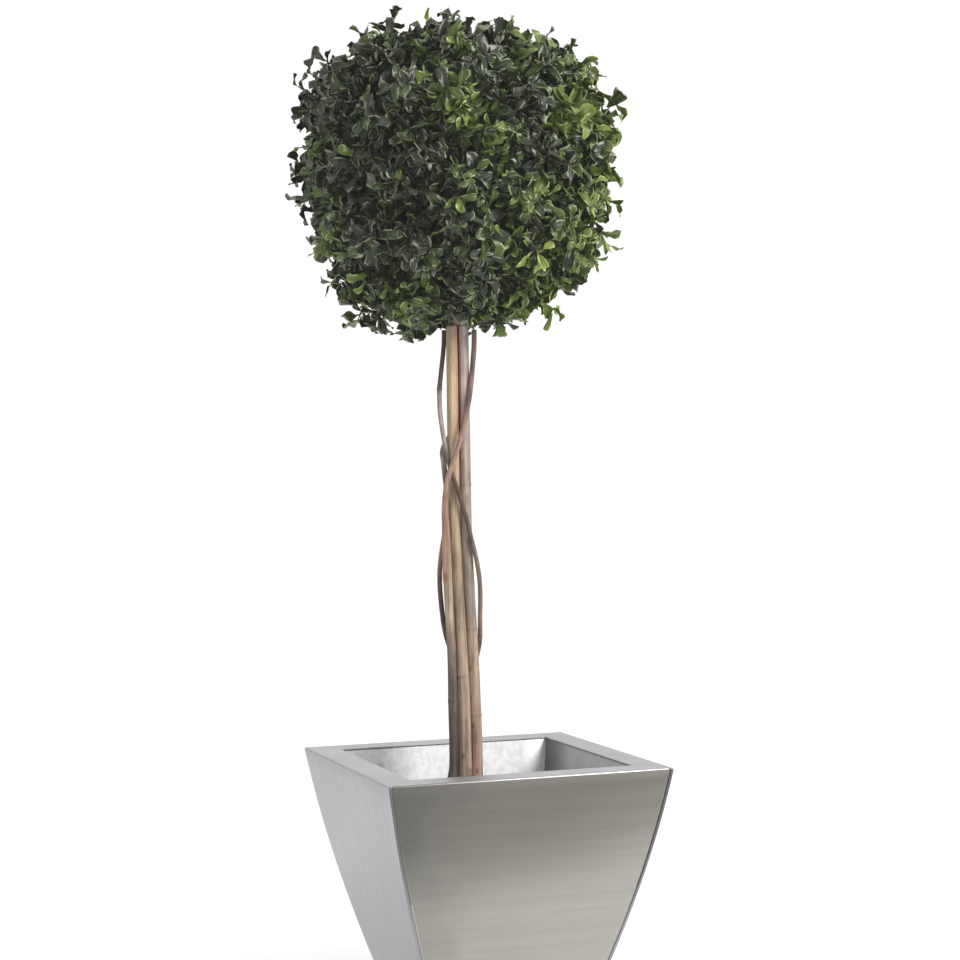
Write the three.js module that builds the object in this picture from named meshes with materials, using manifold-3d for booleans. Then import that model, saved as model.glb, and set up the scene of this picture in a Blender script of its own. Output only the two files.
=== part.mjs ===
// A potted standard pittosporum: a clipped ball of leaves on bare stems, in a square steel planter.
// Millimetres, +Z up. The origin is the middle of the planter's underside and the planter's front faces -Y.
import * as THREE from "three";
import { mergeVertices } from "three/addons/utils/BufferGeometryUtils.js";
import Module from "manifold-3d";

const wasm = await Module();
wasm.setup();

// Planter: four curved steel panels with a folded rim, a base plate and a galvanised liner
const RIM_WIDTH = 400;
const BASE_WIDTH = 202;
const PLANTER_HEIGHT = 360;
const SIDE_BULGE = 9.2;
const RIM_FLANGE = 43;
const SHEET = 2;
const BASE_PLATE = 3;
const PROFILE_STEPS = 12;
const LINER_SHEET = 1.5;
const LINER_LAP = 3;
const LINER_FLOOR = 130;
const LINER_FLOOR_WIDTH = 270;
const SOIL_DEPTH_BELOW_RIM = 80;
const FIT_GAP = 0.3;

// Plant: set a little off the planter's middle, its front turned from the planter's front
const PLANT_TURN = THREE.MathUtils.degToRad(-20);
const PLANT_OFFSET = -25;
const SOIL_LEVEL = PLANTER_HEIGHT - SOIL_DEPTH_BELOW_RIM;
const STEM_FOOT = SOIL_LEVEL + FIT_GAP;

// Stems: the whole bundle sways from one side of its line at the foot to the other above
const SWAY = { foot: 6, top: -4, heights: [380, 710] };

// Canes: three stems in a slowly twisting bundle
const CANE_TOP = 958;
const CANE_FOOT_RADIUS = 9;
const CANE_TIP_RADIUS = 7.8;
const CANE_FLARE = 1;
const CANE_FLARE_HEIGHT = 45;
const CANE_GAP = 0.5;
const CANE_TWIST = THREE.MathUtils.degToRad(-25);
const CANE_SIDES = 10;
const CANE_STEPS = 14;

// Lianas: thin stems that lie on the canes and cross over each other
const LIANA_TOP = 952;
const LIANA_GAP = 0.7;
const LIANA_SIDES = 8;
const LIANA_STEPS = 44;
const LIANA_PATH_STEPS = 3 * LIANA_STEPS;
const LIANA_EASING = 6;

// Crown: a ball clipped to a rounded square, fuller above than below
const CROWN_OFFSET = -2;
const CROWN_MIDDLE = 1175;
const CROWN_RADIUS = 230;
const CROWN_RISE = 208;
const CROWN_DROP = 240;
const UPPER_SQUARENESS = 2.75;
const LOWER_SQUARENESS = 2.25;
const CROWN_CORE = 0.84;
const CORE_LUMPS = 0.07;
const CORE_LUMP_RATE = 18;
const CORE_DETAIL = 3;
const CROWN_STEM_RADIUS = 15;
const CROWN_SEED = 23;
const GOLDEN_ANGLE = Math.PI * (3 - Math.sqrt(5));

// Limbs in the crown: how many, and their reach as a share of the way to the clipped surface
const BOUGH_COUNT = 7;
const BOUGH_SHARE = 0.4;
const BOUGH_RADIUS = 8;
const TWIG_COUNT = 26;
const TWIG_SHARE = 0.66;
const TWIG_RADIUS = 6;
const SHOOT_COUNT = 104;
const SHOOT_INSET = 26;
const SHOOT_WANDER = 0.16;
const SHOOT_RADIUS = 4.5;
const SHOOT_TIP_RADIUS = 2.6;

// Leaves, larger than life because each stands for several
const LEAVES_PER_SHOOT = 6;
const LEAF_SPACING = 22;
const LEAF_STEP = 0.05;
const LEAF_SPREAD = { least: THREE.MathUtils.degToRad(34), most: THREE.MathUtils.degToRad(78) };
const LEAF_SIZE = { least: 0.82, most: 1.12 };
const LEAF_LENGTH = 48;
const LEAF_WIDTH = 28;
const LEAF_THICKNESS = 2;
const LEAF_BELLY = 0.6;
const LEAF_CURL = 4;
const STRAY_REACH = 1.09;
const STEM_CLEARANCE = 46;

const finishes = {
  brushedSteel: new THREE.MeshStandardMaterial({ color: 0xa8a8a6, roughness: 0.38, metalness: 1 }),
  galvanised: new THREE.MeshStandardMaterial({ color: 0xc4c6c7, roughness: 0.5, metalness: 1 }),
  soil: new THREE.MeshStandardMaterial({ color: 0x2b2019, roughness: 1, metalness: 0 }),
  tanBark: new THREE.MeshStandardMaterial({ color: 0xa07a52, roughness: 0.8, metalness: 0 }),
  greyBark: new THREE.MeshStandardMaterial({ color: 0x6d5548, roughness: 0.85, metalness: 0 }),
  redBark: new THREE.MeshStandardMaterial({ color: 0x74452e, roughness: 0.75, metalness: 0 }),
  darkBark: new THREE.MeshStandardMaterial({ color: 0x4a3527, roughness: 0.8, metalness: 0 }),
  leaf: new THREE.MeshStandardMaterial({ color: 0x2c3f20, roughness: 0.45, metalness: 0 }),
};

const object = new THREE.Group();
const plant = new THREE.Group();
plant.rotation.z = PLANT_TURN;
object.add(plant);

function addMesh(parent, name, geometry, finish) {
  const mesh = new THREE.Mesh(geometry, finish);
  mesh.name = name;
  parent.add(mesh);
  return mesh;
}

function moveVertices(geometry, place) {
  const positions = geometry.attributes.position;
  const point = new THREE.Vector3();
  for (let i = 0; i < positions.count; i += 1) {
    point.fromBufferAttribute(positions, i);
    place(point);
    positions.setXYZ(i, point.x, point.y, point.z);
  }
  return geometry;
}

function solidFrom(geometry) {
  geometry.deleteAttribute("normal");
  geometry.deleteAttribute("uv");
  const merged = mergeVertices(geometry);
  const vertProperties = new Float32Array(merged.attributes.position.array);
  const triVerts = new Uint32Array(merged.index.array);
  return new wasm.Manifold(new wasm.Mesh({ numProp: 3, vertProperties, triVerts }));
}

function geometryFrom(solid) {
  const mesh = solid.getMesh();
  const geometry = new THREE.BufferGeometry();
  geometry.setAttribute("position", new THREE.BufferAttribute(mesh.vertProperties, mesh.numProp));
  geometry.setIndex(new THREE.BufferAttribute(mesh.triVerts, 1));
  return geometry;
}

function seededRandom(seed) {
  let state = seed;
  return () => {
    state = (state + 0x6d2b79f5) | 0;
    let mixed = Math.imul(state ^ (state >>> 15), 1 | state);
    mixed = (mixed + Math.imul(mixed ^ (mixed >>> 7), 61 | mixed)) ^ mixed;
    return ((mixed ^ (mixed >>> 14)) >>> 0) / 2 ** 32;
  };
}

// Planter panels: the outward reach of a side at each height is a chord with an even bulge
function sideReach(height) {
  const t = height / PLANTER_HEIGHT;
  return THREE.MathUtils.lerp(BASE_WIDTH, RIM_WIDTH, t) / 2 + 4 * SIDE_BULGE * t * (1 - t);
}

function panelProfile() {
  const underRim = PLANTER_HEIGHT - SHEET;
  const flangeEdge = RIM_WIDTH / 2 - RIM_FLANGE;
  const outer = [];
  const inner = [];
  for (let i = 0; i <= PROFILE_STEPS; i += 1) {
    const height = (PLANTER_HEIGHT * i) / PROFILE_STEPS;
    const innerHeight = Math.min(height, underRim);
    outer.push(new THREE.Vector2(sideReach(height), height));
    inner.unshift(new THREE.Vector2(sideReach(innerHeight) - SHEET, innerHeight));
  }
  const flange = [new THREE.Vector2(flangeEdge, PLANTER_HEIGHT), new THREE.Vector2(flangeEdge, underRim)];
  return new THREE.Shape([...outer, ...flange, ...inner]);
}

function panelGeometry() {
  const geometry = new THREE.ExtrudeGeometry(panelProfile(), { depth: 1, bevelEnabled: false });
  return moveVertices(geometry, (point) => {
    const mitreReach = point.x - FIT_GAP;
    point.set((1 - 2 * point.z) * mitreReach, -point.x, point.y);
  });
}

function addPlanterShell() {
  ["front", "right", "back", "left"].forEach((side, quarter) => {
    const panel = addMesh(object, `planter_panel_${side}`, panelGeometry(), finishes.brushedSteel);
    panel.rotation.z = (quarter * Math.PI) / 2;
  });
  const plateWidth = BASE_WIDTH - 2 * (SHEET + FIT_GAP);
  const plate = addMesh(
    object,
    "planter_base",
    new THREE.BoxGeometry(plateWidth, plateWidth, BASE_PLATE),
    finishes.brushedSteel,
  );
  plate.position.z = BASE_PLATE / 2;
}

// Liner and soil: square tapered blocks, the liner's outer size falling evenly from rim to floor
const LINER_TOP = PLANTER_HEIGHT - SHEET - FIT_GAP;
const LINER_TOP_WIDTH = RIM_WIDTH - 2 * RIM_FLANGE + 2 * LINER_LAP;

function linerWidth(height) {
  return THREE.MathUtils.mapLinear(height, LINER_FLOOR, LINER_TOP, LINER_FLOOR_WIDTH, LINER_TOP_WIDTH);
}

function squareBlock(bottom, top, inset) {
  const topRadius = (linerWidth(top) - 2 * inset) / Math.SQRT2;
  const bottomRadius = (linerWidth(bottom) - 2 * inset) / Math.SQRT2;
  const block = new THREE.CylinderGeometry(topRadius, bottomRadius, top - bottom, 4);
  return block.rotateX(Math.PI / 2).rotateZ(Math.PI / 4).translate(0, 0, (top + bottom) / 2);
}

function addLinerAndSoil() {
  const linerInside = LINER_FLOOR + LINER_SHEET;
  const pastTop = LINER_TOP + LINER_SHEET;
  const tub = solidFrom(squareBlock(LINER_FLOOR, LINER_TOP, 0));
  const hollow = solidFrom(squareBlock(linerInside, pastTop, LINER_SHEET));
  addMesh(object, "planter_liner", geometryFrom(tub.subtract(hollow)), finishes.galvanised);
  const soil = squareBlock(linerInside + FIT_GAP, SOIL_LEVEL, LINER_SHEET + FIT_GAP);
  addMesh(object, "potting_mix", soil, finishes.soil);
}

// Stems: rings lie level, so a stem is its centre and radius at each height
function swayAt(height) {
  return THREE.MathUtils.lerp(SWAY.foot, SWAY.top, THREE.MathUtils.smoothstep(height, ...SWAY.heights));
}

function stemGeometry(foot, top, sides, steps, centreAt, radiusAt) {
  const geometry = new THREE.CylinderGeometry(1, 1, 1, sides, steps).rotateX(Math.PI / 2);
  return moveVertices(geometry, (point) => {
    const height = THREE.MathUtils.lerp(foot, top, point.z + 0.5);
    const centre = centreAt(height);
    const radius = radiusAt(height);
    point.set(swayAt(height) + centre.x + point.x * radius, centre.y + point.y * radius, height);
  });
}

function polar(reach, angle) {
  return new THREE.Vector2(Math.cos(angle), Math.sin(angle)).multiplyScalar(reach);
}

function caneRadius(height) {
  const taper = THREE.MathUtils.mapLinear(height, STEM_FOOT, CANE_TOP, CANE_FOOT_RADIUS, CANE_TIP_RADIUS);
  return taper + CANE_FLARE * Math.exp((STEM_FOOT - height) / CANE_FLARE_HEIGHT);
}

function caneCentre(firstAngle, height) {
  const spread = (2 * caneRadius(height) + CANE_GAP) / Math.sqrt(3);
  const twist = THREE.MathUtils.mapLinear(height, STEM_FOOT, CANE_TOP, 0, CANE_TWIST);
  return polar(spread, firstAngle + twist);
}

const canes = [
  { name: "cane_front", angle: THREE.MathUtils.degToRad(250), finish: finishes.tanBark },
  { name: "cane_right", angle: THREE.MathUtils.degToRad(10), finish: finishes.greyBark },
  { name: "cane_back", angle: THREE.MathUtils.degToRad(130), finish: finishes.redBark },
];

function addCanes() {
  for (const { name, angle, finish } of canes) {
    const centreAt = (height) => caneCentre(angle, height);
    const geometry = stemGeometry(STEM_FOOT, CANE_TOP, CANE_SIDES, CANE_STEPS, centreAt, caneRadius);
    addMesh(plant, name, geometry, finish).position.x = PLANT_OFFSET;
  }
}

// Each liana turns from its foot to a resting side over `settled`, then to another side over `crossing`.
// It thins or thickens over `taper`. A bow is a stretch, round a height, where it stands off the bundle.
// The later ones lie over the earlier ones.
const lianas = [
  {
    name: "liana_dark",
    finish: finishes.darkBark,
    degrees: { foot: 420, rest: 352, tip: 185 },
    settled: [470, 560],
    crossing: [590, 872],
    radius: { foot: 5, tip: 3.2 },
    taper: [400, 560],
    bows: [
      { height: 600, span: 75, size: 4 },
      { height: 868, span: 80, size: 6 },
    ],
  },
  {
    name: "liana_red",
    finish: finishes.redBark,
    degrees: { foot: 212, rest: 224, tip: 350 },
    settled: [400, 520],
    crossing: [690, 930],
    radius: { foot: 6.2, tip: 3.5 },
    taper: [620, 780],
    bows: [{ height: 945, span: 70, size: 3.5 }],
  },
  {
    name: "liana_thin",
    finish: finishes.darkBark,
    degrees: { foot: 90, rest: 180, tip: 80 },
    settled: [445, 555],
    crossing: [768, 835],
    radius: { foot: 3.5, tip: 3.8 },
    taper: [620, 700],
    bows: [{ height: 600, span: 110, size: 14.5 }],
  },
];

function lianaAngle({ degrees, settled, crossing }, height) {
  const toRest = (degrees.rest - degrees.foot) * THREE.MathUtils.smoothstep(height, ...settled);
  const toTip = (degrees.tip - degrees.rest) * THREE.MathUtils.smoothstep(height, ...crossing);
  return THREE.MathUtils.degToRad(degrees.foot + toRest + toTip);
}

function lianaRadius({ radius, taper }, height) {
  return THREE.MathUtils.lerp(radius.foot, radius.tip, THREE.MathUtils.smoothstep(height, ...taper));
}

function lianaBow({ bows }, height) {
  const bowAt = ({ height: middle, span, size }) => {
    const away = Math.min(Math.abs(height - middle) / span, 1);
    return size * Math.cos((away * Math.PI) / 2) ** 2;
  };
  return bows.map(bowAt).reduce((sum, size) => sum + size, 0);
}

// The least reach along an angle at which a round stem clears every other one at the same height
function restingReach(angle, radius, others) {
  const reaches = others.map(({ centre, radius: otherRadius }) => {
    const along = centre.x * Math.cos(angle) + centre.y * Math.sin(angle);
    const aside = centre.x * Math.sin(angle) - centre.y * Math.cos(angle);
    const apart = radius + otherRadius + LIANA_GAP;
    return Math.abs(aside) < apart ? along + Math.sqrt(apart ** 2 - aside ** 2) : 0;
  });
  return Math.max(...reaches);
}

// A widest-then-mean pass over the neighbours smooths a path and never brings it nearer than it was
function easeOut(values) {
  const near = (list, i) => list.slice(Math.max(0, i - LIANA_EASING), i + LIANA_EASING + 1);
  const widest = values.map((_, i) => Math.max(...near(values, i)));
  const mean = (list) => list.reduce((sum, value) => sum + value, 0) / list.length;
  return widest.map((_, i) => mean(near(widest, i)));
}

function addLianas() {
  const stepHeight = (LIANA_TOP - STEM_FOOT) / LIANA_PATH_STEPS;
  const levels = Array.from({ length: LIANA_PATH_STEPS + 1 }, (_, step) => {
    const height = STEM_FOOT + step * stepHeight;
    const radius = caneRadius(height);
    const stems = canes.map(({ angle }) => ({ centre: caneCentre(angle, height), radius }));
    return { height, stems };
  });
  for (const liana of lianas) {
    const radiusAt = (height) => lianaRadius(liana, height);
    const reaches = easeOut(
      levels.map(({ height, stems }) => restingReach(lianaAngle(liana, height), radiusAt(height), stems)),
    );
    const path = levels.map(({ height }, step) =>
      polar(reaches[step] + lianaBow(liana, height), lianaAngle(liana, height)),
    );
    levels.forEach(({ height, stems }, step) => stems.push({ centre: path[step], radius: radiusAt(height) }));
    const centreAt = (height) => path[Math.round((height - STEM_FOOT) / stepHeight)];
    const geometry = stemGeometry(STEM_FOOT, LIANA_TOP, LIANA_SIDES, LIANA_STEPS, centreAt, radiusAt);
    addMesh(plant, liana.name, geometry, liana.finish).position.x = PLANT_OFFSET;
  }
}

// Crown: the clipped surface lies at this distance from the crown's middle along a unit direction
function crownReach(direction) {
  const above = direction.z > 0;
  const squareness = above ? UPPER_SQUARENESS : LOWER_SQUARENESS;
  const across = Math.hypot(direction.x, direction.y) / CROWN_RADIUS;
  const along = Math.abs(direction.z) / (above ? CROWN_RISE : CROWN_DROP);
  return (across ** squareness + along ** squareness) ** (-1 / squareness);
}

function crownPoint(direction, share) {
  return direction.clone().multiplyScalar(crownReach(direction) * share);
}

function evenDirections(count) {
  return Array.from({ length: count }, (_, i) => {
    const rise = 1 - (2 * i + 1) / count;
    const flat = polar(Math.sqrt(1 - rise ** 2), i * GOLDEN_ANGLE);
    return new THREE.Vector3(flat.x, flat.y, rise);
  });
}

function nearestTo(direction, limbs) {
  const closeness = (limb) => limb.direction.dot(direction);
  return limbs.reduce((best, limb) => (closeness(limb) > closeness(best) ? limb : best));
}

function between({ least, most }, random) {
  return THREE.MathUtils.lerp(least, most, random());
}

function twigSolid(start, end, startRadius, endRadius) {
  const span = end.clone().sub(start);
  const geometry = new THREE.CylinderGeometry(endRadius, startRadius, span.length(), 3);
  const turn = new THREE.Quaternion().setFromUnitVectors(THREE.Object3D.DEFAULT_UP, span.normalize());
  const middle = start.clone().lerp(end, 0.5);
  geometry.applyQuaternion(turn);
  return solidFrom(geometry.translate(middle.x, middle.y, middle.z));
}

// The core is lumpy: each of its corners stands in or out a little, by a draw that its place fixes
function coreSolid() {
  const geometry = new THREE.IcosahedronGeometry(1, CORE_DETAIL);
  return solidFrom(
    moveVertices(geometry, (point) => {
      const direction = point.normalize();
      const phases = direction.toArray().map((part, axis) => Math.sin(CORE_LUMP_RATE * part + axis));
      const lump = phases[0] * phases[1] * phases[2];
      point.copy(crownPoint(direction, CROWN_CORE + CORE_LUMPS * lump));
    }),
  );
}

function stemSolid() {
  const foot = CANE_TOP + FIT_GAP - CROWN_MIDDLE;
  const geometry = new THREE.CylinderGeometry(CROWN_STEM_RADIUS, CROWN_STEM_RADIUS, -foot, CANE_SIDES);
  return solidFrom(geometry.rotateX(Math.PI / 2).translate(0, 0, foot / 2));
}

// A leaf is a tetrahedron drawn out into a blade: one edge is its midrib, the other its widest part below it
function leafGeometry(size) {
  return moveVertices(new THREE.TetrahedronGeometry(1), (point) => {
    const atBelly = point.z < 0;
    const ribEnd = point.x < 0 ? 1 : 0;
    const along = atBelly ? LEAF_BELLY : ribEnd;
    const across = atBelly ? (-Math.sign(point.y) * LEAF_WIDTH) / 2 : 0;
    const below = atBelly ? LEAF_THICKNESS : 0;
    point.set(along * LEAF_LENGTH, across, -along * LEAF_CURL - below).multiplyScalar(size);
  });
}

function leafKeepsToCrown(geometry) {
  const positions = geometry.attributes.position;
  const point = new THREE.Vector3();
  for (let i = 0; i < positions.count; i += 1) {
    point.fromBufferAttribute(positions, i);
    const beyond = point.length() > STRAY_REACH * crownReach(point.clone().normalize());
    const besideStems = Math.hypot(point.x, point.y) < STEM_CLEARANCE && point.z < CANE_TOP - CROWN_MIDDLE;
    if (beyond || besideStems) {
      return false;
    }
  }
  return true;
}

// A whorl of leaves round a shoot's tip, each spread from the shoot's line and facing outwards.
// A leaf that would crowd one already placed is skipped.
function whorlSolids(base, tip, placed, random) {
  const axis = tip.clone().sub(base).normalize();
  const side = new THREE.Vector3(-axis.y, axis.x, 0.1).cross(axis).normalize();
  const startTurn = random() * 2 * Math.PI;
  const leaves = [];
  for (let i = 0; i < LEAVES_PER_SHOOT; i += 1) {
    const turn = startTurn + ((i + 0.4 * random()) * 2 * Math.PI) / LEAVES_PER_SHOOT;
    const spread = between(LEAF_SPREAD, random);
    const size = between(LEAF_SIZE, random);
    const outward = side.clone().applyAxisAngle(axis, turn);
    const along = axis.clone().multiplyScalar(Math.cos(spread)).addScaledVector(outward, Math.sin(spread));
    const across = axis.clone().cross(outward);
    const frame = new THREE.Matrix4().makeBasis(along, across, along.clone().cross(across));
    frame.setPosition(tip.clone().lerp(base, LEAF_STEP * (i + 1)));
    const leaf = leafGeometry(size).applyMatrix4(frame);
    const middle = new THREE.Vector3(LEAF_BELLY * LEAF_LENGTH * size, 0, 0).applyMatrix4(frame);
    const crowded = placed.some((other) => other.distanceTo(middle) < LEAF_SPACING);
    if (!crowded && leafKeepsToCrown(leaf)) {
      placed.push(middle);
      leaves.push(solidFrom(leaf));
    }
  }
  return leaves;
}

// The stem parts into boughs, a bough into twigs and a twig into shoots, each tipped with a whorl of leaves
function crownSolid() {
  const random = seededRandom(CROWN_SEED);
  const limbs = [coreSolid(), stemSolid()];
  const placed = [];
  const limbsTo = (count, share) =>
    evenDirections(count).map((direction) => ({ direction, tip: crownPoint(direction, share) }));
  const boughs = limbsTo(BOUGH_COUNT, BOUGH_SHARE);
  const twigs = limbsTo(TWIG_COUNT, TWIG_SHARE);
  for (const bough of boughs) {
    limbs.push(twigSolid(new THREE.Vector3(), bough.tip, BOUGH_RADIUS, TWIG_RADIUS));
  }
  for (const twig of twigs) {
    limbs.push(twigSolid(nearestTo(twig.direction, boughs).tip, twig.tip, TWIG_RADIUS, SHOOT_RADIUS));
  }
  for (const even of evenDirections(SHOOT_COUNT)) {
    const wander = new THREE.Vector3(random() - 0.5, random() - 0.5, random() - 0.5);
    const direction = even.addScaledVector(wander, SHOOT_WANDER).normalize();
    const inset = SHOOT_INSET * (0.8 + 0.5 * random());
    const tip = crownPoint(direction, 1 - inset / crownReach(direction));
    const base = nearestTo(direction, twigs).tip;
    if (Math.hypot(tip.x, tip.y) > STEM_CLEARANCE || tip.z > 0) {
      limbs.push(twigSolid(base, tip, SHOOT_RADIUS, SHOOT_TIP_RADIUS));
      limbs.push(...whorlSolids(base, tip, placed, random));
    }
  }
  const pieces = wasm.Manifold.union(limbs).decompose();
  return pieces.reduce((largest, piece) => (piece.volume() > largest.volume() ? piece : largest));
}

function addCrown() {
  const crown = addMesh(plant, "crown", geometryFrom(crownSolid()), finishes.leaf);
  crown.position.set(PLANT_OFFSET + CROWN_OFFSET, 0, CROWN_MIDDLE);
}

addPlanterShell();
addLinerAndSoil();
addCanes();
addLianas();
addCrown();

export default object;
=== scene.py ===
# %% [markdown]
# # A potted standard pittosporum
# On the real object a clipped ball of glossy evergreen leaves stands on a bundle of bare canes. Three
# thinner stems twine round the canes, and all of it grows in a square planter of brushed steel that widens
# upwards. A measured model of it is loaded first and stays as it is. Every size and place below is read from
# it or follows its rules, and this script adds what the eye sees: metal, bark, twigs and leaves.

# %% Load the measured model
import math

import bmesh
import bpy
import numpy as np
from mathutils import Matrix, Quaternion, Vector


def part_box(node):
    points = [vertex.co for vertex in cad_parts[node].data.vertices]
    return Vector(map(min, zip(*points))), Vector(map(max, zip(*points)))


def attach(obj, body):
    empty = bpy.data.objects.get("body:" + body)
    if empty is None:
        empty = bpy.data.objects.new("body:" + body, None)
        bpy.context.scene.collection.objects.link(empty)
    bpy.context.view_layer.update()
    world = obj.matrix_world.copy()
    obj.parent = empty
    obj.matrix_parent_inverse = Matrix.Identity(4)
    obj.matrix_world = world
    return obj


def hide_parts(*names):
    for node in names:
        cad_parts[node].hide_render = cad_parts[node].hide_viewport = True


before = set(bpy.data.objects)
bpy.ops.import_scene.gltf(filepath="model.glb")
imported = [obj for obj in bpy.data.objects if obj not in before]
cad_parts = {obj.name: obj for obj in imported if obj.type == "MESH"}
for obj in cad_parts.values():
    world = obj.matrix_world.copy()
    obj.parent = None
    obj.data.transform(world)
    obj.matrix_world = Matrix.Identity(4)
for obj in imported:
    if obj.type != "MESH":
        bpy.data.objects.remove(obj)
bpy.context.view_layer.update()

MM = 0.001
BODY = "root"

# %% [markdown]
# ## The camera
# The plant was photographed from about three metres with a long lens, a little left of the planter's front
# and only just above the rim. A camera could be pushed about by hand until it fits. Its place was worked out
# from the planter's square rim and is given as an angle round the planter, a height angle, a distance and a
# roll.

# %% Camera
VIEW_AZIMUTH = math.radians(-20.0)
VIEW_ELEVATION = math.radians(1.17)
VIEW_ROLL = math.radians(-0.645)
VIEW_DISTANCE = 3.108
VIEW_TARGET = Vector((0.0013, -0.0005, 0.7444))
LENS_MM = 84.23


def towards(azimuth, elevation):
    """The direction from the planter to a place round it and above it."""
    level = math.cos(elevation)
    return Vector((level * math.sin(azimuth), -level * math.cos(azimuth), math.sin(elevation)))


def stand(name, data, target, direction, distance, roll=0.0):
    """Puts a camera or a lamp in the scene, so that it looks back at its target."""
    stood = bpy.data.objects.new(name, data)
    stood.location = target + distance * direction
    stood.rotation_mode = "QUATERNION"
    stood.rotation_quaternion = direction.to_track_quat("Z", "Y") @ Quaternion((0, 0, 1), roll)
    bpy.context.scene.collection.objects.link(stood)
    return stood


towards_viewer = towards(VIEW_AZIMUTH, VIEW_ELEVATION)
long_lens = bpy.data.cameras.new("camera")
long_lens.lens = LENS_MM
camera = stand("camera", long_lens, VIEW_TARGET, towards_viewer, VIEW_DISTANCE, VIEW_ROLL)
bpy.context.scene.camera = camera
print("camera at", [round(v, 3) for v in camera.location])

# %% [markdown]
# ## A short way to write shader nodes
# Each finish below is a small sum: so much grain, so much cloud, a little painted shade. Placing the nodes by
# hand takes a page for each sum, so one class wraps a node's output and lets Python's own signs add the Math
# nodes. A second class adds any other node: its settings come first, then the values or links of its sockets.

# %% Sums of node outputs
class Output:
    """One output of a node, which can be added, subtracted, multiplied and divided."""

    def __init__(self, nodes, socket):
        self.nodes = nodes
        self.socket = socket

    def sum(self, operation, first, second):
        return self.nodes.add("ShaderNodeMath", {"operation": operation}, {0: first, 1: second})

    def __add__(self, other):
        return self.sum("ADD", self, other)

    def __radd__(self, other):
        return self.sum("ADD", other, self)

    def __sub__(self, other):
        return self.sum("SUBTRACT", self, other)

    def __rsub__(self, other):
        return self.sum("SUBTRACT", other, self)

    def __mul__(self, other):
        return self.sum("MULTIPLY", self, other)

    def __rmul__(self, other):
        return self.sum("MULTIPLY", other, self)

    def __truediv__(self, other):
        return self.sum("DIVIDE", self, other)

    def __rtruediv__(self, other):
        return self.sum("DIVIDE", other, self)


print("signs for outputs:", [name.strip("_") for name in vars(Output) if name.startswith("__r")])


# %% Node trees and finishes
class Nodes:
    """A node tree that is written as sums."""

    def __init__(self, tree):
        self.tree = tree

    def feed(self, socket, value):
        if isinstance(value, Output):
            self.tree.links.new(value.socket, socket)
        elif socket.type == "RGBA":
            socket.default_value = (*value, 1.0)
        else:
            socket.default_value = value

    def add(self, kind, settings=None, sockets=None, output=0):
        node = self.tree.nodes.new(kind)
        for name, value in (settings or {}).items():
            if name == "stops":
                self.set_stops(node.color_ramp, value)
            else:
                setattr(node, name, value)
        for name, value in (sockets or {}).items():
            self.feed(node.inputs[name], value)
        return Output(self, node.outputs[output])

    @staticmethod
    def set_stops(ramp, stops):
        while len(ramp.elements) < len(stops):
            ramp.elements.new(1.0)
        for element, (place, colour) in zip(ramp.elements, stops):
            element.position = place
            element.color = (*colour, 1.0)

    def mix(self, share, first, second, blend="MIX"):
        settings = {"data_type": "RGBA", "blend_type": blend}
        return self.add("ShaderNodeMix", settings, {0: share, 6: first, 7: second}, output=2)

    def between(self, value, low, high):
        """Nought at low, one at high, and an eased step between them."""
        settings = {"interpolation_type": "SMOOTHSTEP"}
        return self.add("ShaderNodeMapRange", settings, {"Value": value, "From Min": low, "From Max": high})

    def place(self, scale=(1, 1, 1)):
        """The point on the piece in its own coordinates, stretched."""
        point = self.add("ShaderNodeTexCoord", output="Object")
        return self.add("ShaderNodeMapping", {}, {"Vector": point, "Scale": scale})

    def noise(self, place, scale=1.0, detail=3.0, roughness=0.55):
        sockets = {"Vector": place, "Scale": scale, "Detail": detail, "Roughness": roughness}
        return self.add("ShaderNodeTexNoise", {}, sockets)

    def along(self, axis):
        """How far the point lies along X, Y or Z."""
        return self.add("ShaderNodeSeparateXYZ", {}, {0: self.place()}, output=axis)

    def mark(self, name):
        """A value that the mesh holds at each of its points."""
        return self.add("ShaderNodeAttribute", {"attribute_name": name}, output="Fac")

    def bump(self, relief, strength, depth):
        return self.add("ShaderNodeBump", {}, {"Height": relief, "Strength": strength, "Distance": depth})


class Finish(Nodes):
    """A material with one Principled shader, whose sockets are fed by name."""

    def __init__(self, name):
        self.material = bpy.data.materials.new(name)
        self.material.use_nodes = True
        super().__init__(self.material.node_tree)
        self.shader = self.tree.nodes["Principled BSDF"]

    def set(self, **sockets):
        for name, value in sockets.items():
            self.feed(self.shader.inputs[name.replace("_", " ")], value)
        return self.material


print("kinds of node tree:", [kind.__name__ for kind in (Nodes, Finish)])

# %% [markdown]
# ## Floor and light
# The picture is a plain white studio: a pale floor that runs on into a white backdrop, soft light from above
# and behind, and one large soft lamp at the front right that makes the leaves and the tub's inside shine.
# The room behind the viewer is darker. A sky picture could give such light, but the sum of three soft steps
# does the same and needs no file.

# %% Studio sky
SKY_SIDES = 0.42
SKY_ABOVE = 0.75
SKY_BEHIND = 0.55
SKY_SEEN = 1.05
ABOVE_FROM, BEHIND_FROM = (0.1, 1.0), (0.3, 0.95)
WHITE = (1.0, 1.0, 1.0)

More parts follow.
